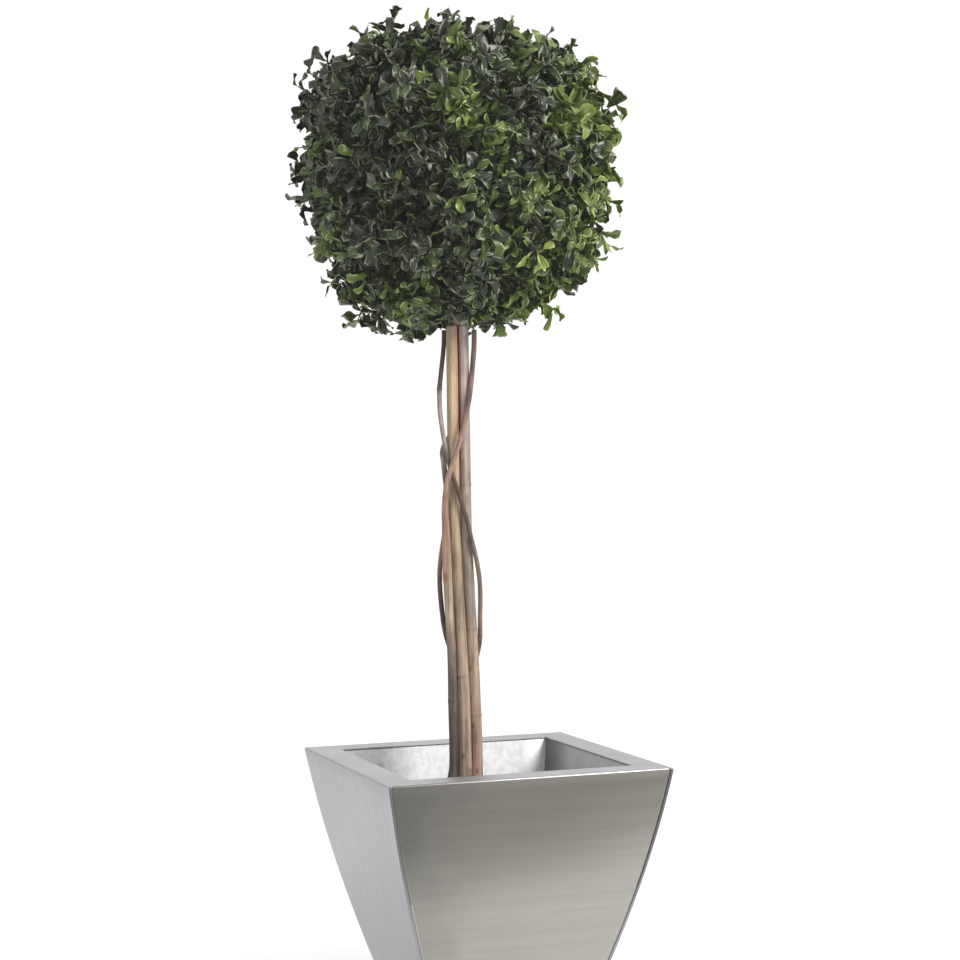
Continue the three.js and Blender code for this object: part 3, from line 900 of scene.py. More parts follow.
def bark(name, ramp, blush_and_shade=BLUSH):
    """Ramp holds (height, colour) pairs from the soil up, and blush_and_shade is the colour of the marked
    flank.
    """
    skin = Finish("bark_" + name)
    fibre = skin.noise(skin.place(FIBRES), detail=5.0, roughness=0.7)
    streak = skin.noise(skin.place(STREAKS), detail=3.0)
    patch = skin.noise(skin.place(PATCHES), detail=2.0)
    fleck = skin.noise(skin.place(FLECKS), detail=3.0)
    stops = [(stem_share(height), colour) for height, colour in ramp]
    along = stem_share(skin.along("Z")) + 0.12 * (patch - 0.5)
    main = skin.add("ShaderNodeValToRGB", {"stops": stops}, {"Fac": along})
    main = skin.mix(skin.mark("flank"), main, blush_and_shade)
    tone = 0.42 + 1.16 * skin.between(0.35 * fibre + 0.4 * streak + 0.25 * patch, 0.32, 0.68)
    tone = tone * (1 - 0.3 * skin.between(fleck, 0.52, 0.7))
    grey = skin.add("ShaderNodeCombineColor", {}, {0: tone, 1: tone, 2: tone})
    shaded = skin.mix(1.0, main, grey, "MULTIPLY")
    return skin.set(
        Base_Color=skin.mix(0.85 * skin.mark("ring"), shaded, RING_COLOUR),
        Roughness=0.62 + 0.2 * fibre,
        Normal=skin.bump(0.65 * fibre + 0.35 * streak, 0.6, 0.7 * MM),
    )


print("grain of the fibres and streaks:", FIBRES, STREAKS)

# %% Six barks
RAMPS = {
    "tan": [
        (0.28, (0.325, 0.231, 0.163)),
        (0.45, (0.328, 0.241, 0.163)),
        (0.50, (0.30, 0.221, 0.15)),
        (0.56, (0.225, 0.167, 0.111)),
        (0.64, (0.226, 0.169, 0.112)),
        (0.76, (0.325, 0.248, 0.168)),
        (0.93, (0.38, 0.29, 0.185)),
    ],
    "grey": [
        (0.28, (0.29, 0.166, 0.12)),
        (0.37, (0.315, 0.203, 0.143)),
        (0.45, (0.328, 0.243, 0.162)),
        (0.50, (0.30, 0.225, 0.16)),
        (0.56, (0.225, 0.171, 0.134)),
        (0.66, (0.218, 0.165, 0.132)),
        (0.78, (0.30, 0.225, 0.19)),
        (0.9, (0.335, 0.26, 0.238)),
    ],
    "brown": [(0.28, (0.13, 0.08, 0.06)), (0.6, (0.22, 0.14, 0.1)), (0.95, (0.2, 0.13, 0.09))],
    "dark": [
        (0.50, (0.16, 0.105, 0.075)),
        (0.60, (0.2, 0.14, 0.105)),
        (0.70, (0.075, 0.046, 0.031)),
        (0.76, (0.10, 0.07, 0.052)),
        (0.80, (0.28, 0.22, 0.2)),
        (0.865, (0.28, 0.22, 0.2)),
        (0.885, (0.062, 0.05, 0.052)),
    ],
    "red": [
        (0.28, (0.076, 0.053, 0.051)),
        (0.50, (0.115, 0.076, 0.066)),
        (0.57, (0.29, 0.215, 0.15)),
        (0.62, (0.29, 0.194, 0.137)),
        (0.68, (0.29, 0.16, 0.11)),
        (0.78, (0.30, 0.19, 0.15)),
        (0.85, (0.15, 0.09, 0.07)),
        (0.93, (0.19, 0.11, 0.095)),
    ],
    "vine": [
        (0.45, (0.08, 0.05, 0.05)),
        (0.60, (0.10, 0.06, 0.055)),
        (0.635, (0.24, 0.135, 0.095)),
        (0.72, (0.21, 0.13, 0.105)),
        (0.74, (0.11, 0.08, 0.085)),
        (0.76, (0.12, 0.085, 0.09)),
        (0.775, (0.29, 0.235, 0.2)),
    ],
}
# The grey cane's dark red-brown flank is partly a reddish seam and partly painted shade between the canes.
BLUSHES_AND_SEAM_SHADE = {"tan": (0.37, 0.235, 0.14), "grey": (0.14, 0.065, 0.042), "red": (0.23, 0.095, 0.045)}
barks = {name: bark(name, ramp, BLUSHES_AND_SEAM_SHADE.get(name, BLUSH)) for name, ramp in RAMPS.items()}
print("barks:", [finish.name for finish in barks.values()])

# %% Three canes
STEM_ROW = 2.2 * MM
CANE_SIDES = 56
CANE_RIDGES = (3, 5, 8, 13, 21)
RIDGE_DEPTH = 0.055
RING_TALL = 1.5 * MM
RING_SIZE = 0.06
RING_TILT = 1.5 * MM
SCAR_TALL, SCAR_WIDE = 3.5 * MM, 16
FLUSH_AND_SHADE_HEIGHTS, FLUSH_AND_SHADE_LEAST = (0.64, 0.82), 0.1
# Rings are heights, scars a height and degrees round the cane, and a flank degrees and half its width.
CANES = {
    "cane_front": {
        "angle": 250,
        "bark": "tan",
        "slot": "bark_tan",
        "rings": (0.475,),
        "scars": ((0.364, 250), (0.344, 318), (0.336, 322)),
        "flank": (338, 80),
    },
    "cane_right": {
        "angle": 10,
        "bark": "grey",
        "slot": "bark_grey",
        "rings": (0.418, 0.538, 0.738),
        "scars": ((0.484, 237), (0.405, 245), (0.342, 280)),
        # Partly a reddish seam and partly painted shade, where this cane faces the others.
        "flank": (200, 42),
    },
    "cane_back": {
        "angle": 130,
        "bark": "brown",
        "slot": "bark_brown",
        "rings": (0.44, 0.61, 0.86),
        "scars": ((0.37, 90), (0.52, 140)),
        "flank": (180, 60),
    },
}


def stem_rows(top):
    rows = np.arange(STEM_FOOT, top, STEM_ROW)
    rows[-1] = top
    return rows


cane_rows = stem_rows(CANE_TOP)
cane_turns = around(CANE_SIDES)
for number, (name, cane) in enumerate(CANES.items()):
    rows = cane_rows[:, None]
    relief = RIDGE_DEPTH * ridges(cane_turns, rows, number, CANE_RIDGES)
    rings = np.zeros(relief.shape)
    for ring in cane["rings"]:
        tilted = ring + RING_TILT * np.cos(cane_turns + number)
        relief += RING_SIZE * band(rows, tilted, RING_TALL)
        broken = 0.55 + 0.45 * np.sin(2 * cane_turns + number)
        rings += broken * band(rows, tilted - RING_TALL, 0.8 * RING_TALL)
    for place, degrees in cane["scars"]:
        rings += 0.9 * spot(cane_turns, rows, place, degrees, SCAR_TALL, SCAR_WIDE)
    flank, half = cane["flank"]
    facing = 1 - smoothstep(np.abs(angle_from(cane_turns, flank)) / math.radians(half), 0.4, 1.0)
    flush_and_shade = FLUSH_AND_SHADE_LEAST + (1 - FLUSH_AND_SHADE_LEAST) * smoothstep(rows, *FLUSH_AND_SHADE_HEIGHTS)
    marks = {"ring": np.clip(rings, 0, 1), "flank": facing * flush_and_shade}
    centres = cane_centre(math.radians(cane["angle"]), cane_rows)
    radii = cane_radius(cane_rows)
    piece = stem_piece(name + "_bark", barks[cane["bark"]], cane_rows, centres, radii, relief, marks)
    show(piece, cane["slot"], name)

# %% [markdown]
# ## Lianas
# Three thinner stems lie on the canes, wind round them and stand off in long bows. Their path is a rule: an
# angle that eases from the foot to a resting side and then across to another, and the least reach at that
# angle which clears every stem already there. The later ones lie over the earlier ones.

# %% Table of lianas
# Degrees are at the foot, at rest and at the tip. A bow has a height, half its span and a size. A knot has a
# height, degrees round the stem, how tall and how many degrees wide it is, and a size.
LIANAS = {
    "liana_dark": {
        "degrees": (420, 352, 185),
        "settled": (0.470, 0.560),
        "crossing": (0.590, 0.872),
        "radius": (5 * MM, 3.2 * MM),
        "taper": (0.400, 0.560),
        "bows": ((0.600, 75 * MM, 4 * MM), (0.868, 80 * MM, 6 * MM)),
        "joints": (0.871,),
        "knots": ((0.871, 185, 7 * MM, 70, 0.2),),
        "bark": "dark",
        "slot": "bark_dark",
    },
    "liana_red": {
        "degrees": (212, 224, 350),
        "settled": (0.400, 0.520),
        "crossing": (0.690, 0.930),
        "radius": (6.2 * MM, 3.5 * MM),
        "taper": (0.620, 0.780),
        "bows": ((0.945, 70 * MM, 3.5 * MM),),
        "joints": (0.44,),
        "knots": ((0.612, 236, 9 * MM, 52, 0.16), (0.320, 185, 18 * MM, 75, 0.9)),
        "bark": "red",
        "slot": "bark_red",
    },
    "liana_thin": {
        "degrees": (90, 180, 80),
        "settled": (0.445, 0.555),
        "crossing": (0.768, 0.835),
        "radius": (3.5 * MM, 3.8 * MM),
        "taper": (0.620, 0.700),
        "bows": ((0.600, 110 * MM, 14.5 * MM),),
        "joints": (0.55,),
        "knots": ((0.783, 180, 7 * MM, 80, 0.2),),
        "bark": "vine",
        "slot": "bark_dark",
    },
}
print("degrees turned:", {name: liana["degrees"][-1] - liana["degrees"][0] for name, liana in LIANAS.items()})

# %% Liana rules
LIANA_TOP = 0.952
LIANA_GAP = 0.7 * MM
LIANA_PATH_STEPS = 132
LIANA_EASING = 6
path_heights = np.linspace(STEM_FOOT, LIANA_TOP, LIANA_PATH_STEPS + 1)


def liana_angle(liana, height):
    foot, rest, tip = liana["degrees"]
    to_rest = (rest - foot) * smoothstep(height, *liana["settled"])
    to_tip = (tip - rest) * smoothstep(height, *liana["crossing"])
    return np.radians(foot + to_rest + to_tip)


def liana_radius(liana, height):
    foot, tip = liana["radius"]
    return foot + (tip - foot) * smoothstep(height, *liana["taper"])


def liana_bow(liana, height):
    total = 0
    for place, span, size in liana["bows"]:
        total = total + size * np.cos(np.minimum(np.abs(height - place) / span, 1) * np.pi / 2) ** 2
    return total


def resting_reach(angle, radius, others):
    """The least reach along an angle at which a round stem clears the others at the same height."""
    reaches = np.zeros(len(angle))
    for centre, other_radius in others:
        along = centre[:, 0] * np.cos(angle) + centre[:, 1] * np.sin(angle)
        aside = centre[:, 0] * np.sin(angle) - centre[:, 1] * np.cos(angle)
        apart = radius + other_radius + LIANA_GAP
        touching = along + np.sqrt(np.maximum(apart**2 - aside**2, 0))
        reaches = np.maximum(reaches, np.where(np.abs(aside) < apart, touching, 0))
    return reaches


def ease_out(values):
    """The widest and then the mean over the neighbours, so that a path is smooth and never nearer."""
    near = [slice(max(0, i - LIANA_EASING), i + LIANA_EASING + 1) for i in range(len(values))]
    widest = np.array([values[part].max() for part in near])
    return np.array([widest[part].mean() for part in near])


print("paths from", round(STEM_FOOT, 4), "to", LIANA_TOP, "m in", LIANA_PATH_STEPS, "steps")

# %% Three lianas
LIANA_SIDES = 28
LIANA_RIDGES = (2, 3, 5, 8)
LIANA_SEED = 20
liana_rows = stem_rows(LIANA_TOP)
liana_turns = around(LIANA_SIDES)
stems = []
for cane in CANES.values():
    stems.append((cane_centre(math.radians(cane["angle"]), path_heights), cane_radius(path_heights)))
for number, (name, liana) in enumerate(LIANAS.items()):
    angle = liana_angle(liana, path_heights)
    radius = liana_radius(liana, path_heights)
    path = polar(ease_out(resting_reach(angle, radius, stems)) + liana_bow(liana, path_heights), angle)
    stems.append((path, radius))
    centres = np.stack([np.interp(liana_rows, path_heights, path[:, axis]) for axis in (0, 1)], axis=-1)
    rows = liana_rows[:, None]
    relief = RIDGE_DEPTH * ridges(liana_turns, rows, LIANA_SEED + number, LIANA_RIDGES)
    rings = np.zeros(relief.shape)
    for joint in liana["joints"]:
        relief += RING_SIZE * band(rows, joint, 2 * RING_TALL)
        rings += 0.5 * band(rows, joint, RING_TALL)
    knots = [spot(liana_turns, rows, *where) for *where, _ in liana["knots"]]
    for (*_, size), shape in zip(liana["knots"], knots):
        relief += size * shape
    marks = {"ring": np.clip(rings, 0, 1), "flank": smoothstep(knots[0], 0.2, 0.8)}
    radii = liana_radius(liana, liana_rows)
    piece = stem_piece(name + "_bark", barks[liana["bark"]], liana_rows, centres, radii, relief, marks)
    show(piece, liana["slot"], name)

# %% [markdown]
# ## Limbs in the crown
# The crown is a ball, clipped to a rounded square that is fuller above than below. Its limbs follow one rule
# at every size: directions are spread evenly over the ball, each limb reaches a share of the way to the
# clipped surface, and it grows from the nearest limb of the size before. Boughs carry twigs, twigs carry
# shoots, and here the rule goes on to fine sprigs. Sprigs reach furthest in line with their shoot, so each
# shoot makes a tuft with a dark hollow round it, as new growth does between two clippings.

# %% Crown rules
CROWN_OFFSET = -2 * MM
CROWN_MIDDLE = 1.175
CROWN_RADIUS = 230 * MM
CROWN_RISE = 208 * MM
CROWN_DROP = 240 * MM
UPPER_SQUARENESS = 2.75
LOWER_SQUARENESS = 2.25
CROWN_SEED = 23
GOLDEN_ANGLE = math.pi * (3 - math.sqrt(5))
STEM_CLEARANCE = 33 * MM
CLEARANCE_RISE = 12 * MM
# Each lobe or dent has a direction, a share of the reach and a width in radians.
LOBES = (
    ((-0.22, 0, 0.97), 0.01, 0.3),
    ((0.36, -0.1, 0.93), -0.05, 0.36),
    ((-0.86, 0, -0.46), -0.05, 0.34),
    ((0.9, 0, -0.33), -0.05, 0.3),
    ((-0.36, 0, -0.93), 0.04, 0.3),
    ((0.38, 0, -0.92), -0.03, 0.32),
    ((-0.6, 0, 0.8), -0.03, 0.25),
)
draw = np.random.default_rng(CROWN_SEED)


def unit(vectors):
    return vectors / np.linalg.norm(vectors, axis=-1, keepdims=True)


def unevenness(directions):
    """What the shears left standing or took too much of: low lobes and dents, each fading over an angle."""
    total = np.zeros(directions.shape[:-1])
    for line, size, width in LOBES:
        apart = np.arccos(np.clip(directions @ unit(np.array(line)), -1, 1))
        total += size * np.exp(-((apart / width) ** 2))
    return total


def crown_reach(directions):
    """How far the clipped surface lies from the crown's middle along unit directions."""
    above = directions[..., 2] > 0
    squareness = np.where(above, UPPER_SQUARENESS, LOWER_SQUARENESS)
    across = np.hypot(directions[..., 0], directions[..., 1]) / CROWN_RADIUS
    along = np.abs(directions[..., 2]) / np.where(above, CROWN_RISE, CROWN_DROP)
    even = (across**squareness + along**squareness) ** (-1 / squareness)
    return even * (1 + unevenness(directions))


def even_directions(count):
    order = np.arange(count)
    rise = 1 - (2 * order + 1) / count
    return np.concatenate([polar(np.sqrt(1 - rise**2), order * GOLDEN_ANGLE), rise[:, None]], axis=1)


def from_crown(points):
    """Points about the crown's middle, brought to the planter's frame."""
    return from_plant(points + np.array([CROWN_OFFSET, 0, CROWN_MIDDLE]))


def clear_of_stems(points):
    beside = np.hypot(points[..., 0], points[..., 1]) < STEM_CLEARANCE
    return ~(beside & (points[..., 2] < CANE_TOP - CROWN_MIDDLE + CLEARANCE_RISE))


print("crown from", CROWN_MIDDLE - CROWN_DROP, "to", CROWN_MIDDLE + CROWN_RISE)


# %% Branching
def wandering(count, amount):
    return unit(even_directions(count) + amount * draw.uniform(-0.5, 0.5, (count, 3)))


def nearest_limb(directions, limbs):
    """The limb whose tip lies nearest to each direction, and how far off it is in radians."""
    closeness = directions @ unit(limbs["tip"]).T
    return np.argmax(closeness, axis=1), np.arccos(np.clip(closeness.max(axis=1), -1, 1))


def limbs_to(directions, share, parents, parent_share):
    """Limbs with tips in these directions, each from a point along the nearest parent."""
    nearest, _ = nearest_limb(directions, parents)
    start, end = parents["base"][nearest], parents["tip"][nearest]
    base = start + (end - start) * np.reshape(parent_share, (-1, 1))
    return {"base": base, "tip": directions * (crown_reach(directions) * share)[:, None]}


def chosen(group, kept):
    """The limbs or leaves of a group that are kept."""
    return {name: values[kept] for name, values in group.items()}


def kept_clear(limbs):
    return chosen(limbs, clear_of_stems(limbs["tip"]))


print("three even directions:", even_directions(3).round(2).tolist())

# %% Boughs, twigs and shoots
BOUGHS, TWIGS, SHOOTS = 7, 26, 104
BOUGH_SHARE, TWIG_SHARE = 0.4, 0.66
BOUGH_STARTS, TWIG_START, SHOOT_START = (1, 0.55), 0.95, 0.97
SHOOT_INSET, SHOOT_INSETS = 26 * MM, (1.1, 1.6)
WANDER = 0.16

stem = {"base": np.array([[0, 0, CANE_TOP + FIT_GAP - CROWN_MIDDLE]]), "tip": np.zeros((1, 3))}
boughs = limbs_to(even_directions(BOUGHS), BOUGH_SHARE, stem, np.linspace(*BOUGH_STARTS, BOUGHS))
twigs = limbs_to(even_directions(TWIGS), TWIG_SHARE, boughs, TWIG_START)
shoot_lines = wandering(SHOOTS, WANDER)
shoot_shares = 1 - SHOOT_INSET * draw.uniform(*SHOOT_INSETS, SHOOTS) / crown_reach(shoot_lines)
shoots = kept_clear(limbs_to(shoot_lines, shoot_shares, twigs, SHOOT_START))
print("boughs", BOUGHS, "twigs", TWIGS, "shoots", len(shoots["tip"]))

# %% Sprigs
SPRIGS, INNER_SPRIGS = 1150, 640
SPRIG_WANDER = 0.11
SPRIG_STARTS, INNER_STARTS = (0.35, 0.9), (0, 0.5)
TUFT_INSET, HOLLOW_INSET, INSET_DRIFT = 8 * MM, 56 * MM, 5 * MM
TUFT_SPREAD = 0.2
INNER_SHARES = (0.55, 0.9)
STRAY_SHARE = 0.06
STRAY_REACH = 2 * MM
STRAY_BEHIND, STRAY_ABOVE = 0.3, -0.7
# Here a sprig stands out in the picture. Others are dealt out on the side that it doesn't show.
STRAYS = [
    (0.97, -0.05, -0.23),
    (-0.79, -0.05, 0.62),
    (-0.91, -0.1, 0.42),
    (0.90, -0.05, 0.43),
    (-0.98, 0, -0.17),
    (0.58, -0.05, -0.81),
    (-0.53, -0.05, -0.85),
    (-0.4, 0, 0.92),
    (-0.08, -0.05, 1.0),
    (0.87, -0.05, -0.49),
    (-0.73, 0, -0.68),
]

sprig_lines = wandering(SPRIGS, SPRIG_WANDER)
own_shoot, off_shoot = nearest_limb(sprig_lines, shoots)
tuft = smoothstep(off_shoot, 0, TUFT_SPREAD)
insets = TUFT_INSET + (HOLLOW_INSET - TUFT_INSET) * tuft + draw.normal(0, INSET_DRIFT, SPRIGS)
unseen = (sprig_lines[:, 1] > STRAY_BEHIND) & (sprig_lines[:, 2] > STRAY_ABOVE)
astray = (draw.random(SPRIGS) < STRAY_SHARE) & unseen
astray[np.argmax(sprig_lines @ unit(np.array(STRAYS)).T, axis=0)] = True
insets = np.where(astray, -STRAY_REACH, insets)
sprig_shares = 1 - insets / crown_reach(sprig_lines)
sprigs = limbs_to(sprig_lines, sprig_shares, shoots, draw.uniform(*SPRIG_STARTS, SPRIGS))
sprigs.update(astray=astray, shoot=own_shoot)
sprigs = kept_clear(sprigs)
inner_lines = wandering(INNER_SPRIGS, WANDER)
inner_shares = draw.uniform(*INNER_SHARES, INNER_SPRIGS)
inner_starts = draw.uniform(*INNER_STARTS, INNER_SPRIGS)
inner_sprigs = kept_clear(limbs_to(inner_lines, inner_shares, shoots, inner_starts))
print("sprigs", len(sprigs["tip"]), "inner sprigs", len(inner_sprigs["tip"]))

# %% Bent tubes for the limbs
LIMB_ROUGHNESS = 0.12


def limb_tubes(limbs, base_radius, tip_radius, sides, steps, bow):
    """Points and faces of many tapering tubes, each with a slight bow and closed ends."""
    base, span = limbs["base"], limbs["tip"] - limbs["base"]
    count = len(base)
    axis = unit(span)
    side = unit(np.cross(axis, np.where(np.abs(axis[:, 2:]) < 0.9, [[0.0, 0, 1]], [[1.0, 0, 0]])))
    other = np.cross(axis, side)
    share = np.linspace(0, 1, steps + 1)
    lean = draw.uniform(0, 2 * np.pi, count)
    bend = bow * np.linalg.norm(span, axis=1) * draw.uniform(0.3, 1.0, count)
    offset = (side * np.cos(lean)[:, None] + other * np.sin(lean)[:, None]) * bend[:, None]
    arc = 4 * share * (1 - share)
    centres = base[:, None] + span[:, None] * share[:, None] + offset[:, None] * arc[:, None]
    radius = base_radius + (tip_radius - base_radius) * share
    rough = 1 + LIMB_ROUGHNESS * draw.uniform(-1, 1, (count, steps + 1, sides))
    turn = around(sides)
    round_side = side[:, None, None] * np.cos(turn)[:, None] + other[:, None, None] * np.sin(turn)[:, None]
    points = centres[:, :, None] + round_side * (radius[:, None] * rough)[..., None]
    return points.reshape(-1, 3), tube_faces(sides, steps + 1, count)


def limb_piece(name, finish, tubes):
    """Several sets of tubes as one piece."""
    points, faces, total = [], [], 0
    for tube_points, walls_and_caps in tubes:
        points.append(tube_points)
        faces += [face + total for face in walls_and_caps]
        total += len(tube_points)
    return mesh_piece(name, from_crown(np.concatenate(points)), faces, [finish])


limb_bark = bark("limbs", [(0.28, (0.13, 0.09, 0.06)), (0.95, (0.17, 0.12, 0.08))])
# Each set has a radius at the base and the tip, sides, steps along it and a share of its length as a bow.
limb_sizes = [
    limb_tubes(stem, 13 * MM, 9 * MM, 14, 24, 0.0),
    limb_tubes(boughs, 8 * MM, 6 * MM, 10, 12, 0.08),
    limb_tubes(twigs, 6 * MM, 4 * MM, 8, 10, 0.1),
    limb_tubes(shoots, 3.6 * MM, 1.8 * MM, 7, 8, 0.1),
]
show(limb_piece("crown_limbs", limb_bark, limb_sizes), "bark_brown", "crown")

# %% [markdown]
# ## Leaves
# A pittosporum leaf is a thick glossy oval, widest past its middle, with a sunken midrib and a wavy edge that
# catches the light. The leaves stand in whorls that close round a sprig's tip and open out below it. One leaf
# could be modelled and copied, but thousands of objects are slow, so all blades are worked out at once as
# arrays: a bent centre line, a width at each row of points, and a lift across the blade. Leaves deep in the
# crown, where little shows, have fewer faces.

# %% Leaf blades
FULL_LEAF = (
    np.array([0.0, 0.1, 0.28, 0.47, 0.66, 0.83, 0.95, 1.0]),
    np.array([-1.0, -0.7, -0.04, 0.04, 0.7, 1.0]),
)
PLAIN_LEAF = (np.array([0.0, 0.12, 0.32, 0.56, 0.8, 0.95, 1.0]), np.array([-1.0, 0.0, 1.0]))
STALK_HALF = 0.7 * MM
TIP_HALF = 0.1 * MM
BLADE_RISE = 0.95
RIPPLES, RIPPLE_SHIFT, RIPPLE_WIDTH = 8, 2.2, 0.1
EDGE_FROM = 0.25
RIB_SHARE = 0.75


def blade_width(share, bluntness):
    """The half width along a leaf as a share of the widest: narrow at the stalk, widest past the middle."""
    peak = BLADE_RISE / (BLADE_RISE + bluntness)
    return (share / peak) ** BLADE_RISE * ((1 - share) / (1 - peak)) ** bluntness


def rippled(share, phase, side):
    """The wave along an edge, which runs apart on the two sides of a leaf."""
    return np.sin(RIPPLES * share + phase + RIPPLE_SHIFT * side)


def leaf_blades(leaf, form):
    """Points of all blades: rows along each leaf and columns across it."""
    every = {name: values[:, None, None] for name, values in leaf.items()}
    rows, columns = form[0][:, None], form[1]
    edge = np.abs(columns)
    bend = every["bend"] * rows
    along = every["length"] * np.sin(bend) / every["bend"]
    drop = -every["length"] * (1 - np.cos(bend)) / every["bend"]
    ripple = rippled(rows, every["phase"], np.sign(columns))
    width = blade_width(rows, every["blunt"]) * every["width"] / 2
    half = np.maximum(width, np.where(rows < 0.5, STALK_HALF, TIP_HALF)) * (1 + RIPPLE_WIDTH * ripple * edge)
    lift = half * (every["fold"] * edge - every["roll"] * edge**3 + every["wave"] * ripple * edge)
    forward = (along + lift * np.sin(bend))[..., None] * every["along"]
    upward = (drop + lift * np.cos(bend))[..., None] * every["normal"]
    sideways = (half * columns * np.cos(every["fold"]))[..., None] * every["across"]
    return every["base"] + forward + upward + sideways


def blade_faces(count, form):
    rows, columns = len(form[0]), len(form[1])
    corner = np.arange(columns - 1) + columns * np.arange(rows - 1)[:, None]
    quads = np.stack([corner, corner + columns, corner + columns + 1, corner + 1], axis=-1).reshape(-1, 4)
    return (quads + rows * columns * np.arange(count)[:, None, None]).reshape(-1, 4)


def pale_and_highlight_slots(leaf):
    """The finish of each face of full leaves: one along the midrib and on the edge's crests, else nought."""
    rows, columns = FULL_LEAF
    middles = (rows[1:] + rows[:-1]) / 2
    slots = np.zeros((len(leaf["phase"]), len(middles), len(columns) - 1), int)
    # On the edge's crests the paler finish is partly a pale margin and partly a painted highlight.
    for column, side in ((0, -1), (-1, 1)):
        slots[:, :, column] = rippled(middles, leaf["phase"][:, None], side) > EDGE_FROM
    slots[:, :, 2] = middles < RIB_SHARE
    return slots.ravel()


print("faces in a leaf:", [len(blade_faces(1, form)) for form in (FULL_LEAF, PLAIN_LEAF)])

# %% Whorls
LEAF_LENGTH = 37 * MM
LEAF_WIDTH_SHARE = 0.5
LEAF_STEP = 5.2 * MM
LEAVES_PER_SPRIG, LEAVES_PER_INNER = 11, 7
SPREAD_TIP, SPREAD_FOOT = math.radians(18), math.radians(78)
SPREAD_CURVE = 0.7
STEP_DRIFT, TURN_DRIFT, SPREAD_DRIFT, LINE_DRIFT, FACE_DRIFT = 0.3, 0.25, 0.22, 0.12, 0.5
ASIDE, SAG, LIGHTWARD = np.array([[0.31, 0.17, 0.93], [0, 0, -0.25], [0, 0, 0.2]])
TIP_LEAVES, TIP_SHORTER = 3, 0.3
LENGTHS, WIDTHS, BLUNTS = (0.66, 1.16), (0.8, 1.2), (0.5, 0.8)
ROUND_SHARE, ROUND_WIDER, ROUND_BLUNT = 0.25, 0.18, 0.45
BENDS, FOLDS, ROLLS, WAVES = (0.5, 1.9), (0.3, 1.05), (0.1, 0.7), (0.2, 0.6)


def whorls(group, per_sprig):
    """Leaves round each sprig, close to its line at the tip and wider spread below, at the golden angle."""
    sprig_count = len(group["tip"])
    count = sprig_count * per_sprig
    sprig = np.repeat(np.arange(sprig_count), per_sprig)
    order = np.tile(np.arange(per_sprig), sprig_count)
    axis = unit(group["tip"] - group["base"])[sprig]
    back = LEAF_STEP * np.maximum(order + draw.uniform(-STEP_DRIFT, STEP_DRIFT, count), 0)
    first_turn = draw.uniform(0, 2 * np.pi, sprig_count)[sprig]
    turn = first_turn + order * GOLDEN_ANGLE + draw.normal(0, TURN_DRIFT, count)
    opening = (order / (per_sprig - 1)) ** SPREAD_CURVE
    spread = SPREAD_TIP + (SPREAD_FOOT - SPREAD_TIP) * opening + draw.normal(0, SPREAD_DRIFT, count)
    cos_spread, sin_spread = np.cos(spread)[:, None], np.sin(spread)[:, None]
    side = unit(np.cross(axis, ASIDE))
    outward = side * np.cos(turn)[:, None] + np.cross(axis, side) * np.sin(turn)[:, None]
    along = unit(axis * cos_spread + outward * sin_spread + SAG + draw.normal(0, LINE_DRIFT, (count, 3)))
    upper = axis * sin_spread - outward * cos_spread + LIGHTWARD + draw.normal(0, FACE_DRIFT, (count, 3))
    across = unit(np.cross(upper, along))
    youth = np.clip(1 - order / TIP_LEAVES, 0, 1)
    length = LEAF_LENGTH * (1 - TIP_SHORTER * youth) * draw.uniform(*LENGTHS, count)
    round_leaf = draw.random(count) < ROUND_SHARE
    return {
        "base": group["tip"][sprig] - axis * back[:, None],
        "along": along,
        "across": across,
        "normal": np.cross(along, across),
        "length": length,
        "width": length * (LEAF_WIDTH_SHARE + ROUND_WIDER * round_leaf) * draw.uniform(*WIDTHS, count),
        "blunt": np.where(round_leaf, ROUND_BLUNT, draw.uniform(*BLUNTS, count)),
        "bend": draw.uniform(*BENDS, count),
        "fold": draw.uniform(*FOLDS, count),
        "roll": draw.uniform(*ROLLS, count),
        "wave": draw.uniform(*WAVES, count),
        "phase": draw.uniform(0, 2 * np.pi, count),
        "sprig": sprig,
        "order": order,
    }


outer_leaves = whorls(sprigs, LEAVES_PER_SPRIG)
inner_leaves = whorls(inner_sprigs, LEAVES_PER_INNER)
print("leaves before clipping:", len(outer_leaves["length"]), "outer,", len(inner_leaves["length"]), "inner")

# %% Clipped leaves
INNER_REACH, CLIP_REACH, LOOSE_REACH = 0.89, 1.05, 1.11


def clipped(leaf, limit):
    """Leaves that keep to the clipped ball, or to a looser one, and leave room round the canes."""
    tips = leaf["base"] + leaf["along"] * leaf["length"][:, None]
    share = np.linalg.norm(tips, axis=1) / crown_reach(unit(tips))
    return chosen(leaf, (share < limit) & clear_of_stems(tips))


loose = sprigs["astray"][outer_leaves["sprig"]]
outer_leaves = clipped(outer_leaves, np.where(loose, LOOSE_REACH, CLIP_REACH))
inner_leaves = clipped(inner_leaves, INNER_REACH)
print("leaves after clipping:", len(outer_leaves["length"]), "outer,", len(inner_leaves["length"]), "inner")

# %% Green sprigs
FEWEST_LEAVES = 4
SPRIG_TONES = (0.07, 0.06, 0.03), (0.16, 0.19, 0.06)


def leafy(group, leaf):
    """The sprigs that kept their leaves."""
    return chosen(group, np.bincount(leaf["sprig"], minlength=len(group["tip"])) >= FEWEST_LEAVES)


sprig_skin = Finish("sprig_green")
tinge = sprig_skin.noise(sprig_skin.place(), 60.0, 3.0)
sprig_colour = sprig_skin.mix(sprig_skin.between(tinge, 0.35, 0.65), *SPRIG_TONES)
sprig_skin.set(Base_Color=sprig_colour, Roughness=0.6)
sprig_tubes = [
    limb_tubes(leafy(sprigs, outer_leaves), 1.5 * MM, 0.9 * MM, 5, 5, 0.08),
    limb_tubes(leafy(inner_sprigs, inner_leaves), 1.5 * MM, 0.9 * MM, 5, 4, 0.08),
]
show(limb_piece("crown_sprigs", sprig_skin.material, sprig_tubes), "bark_brown")
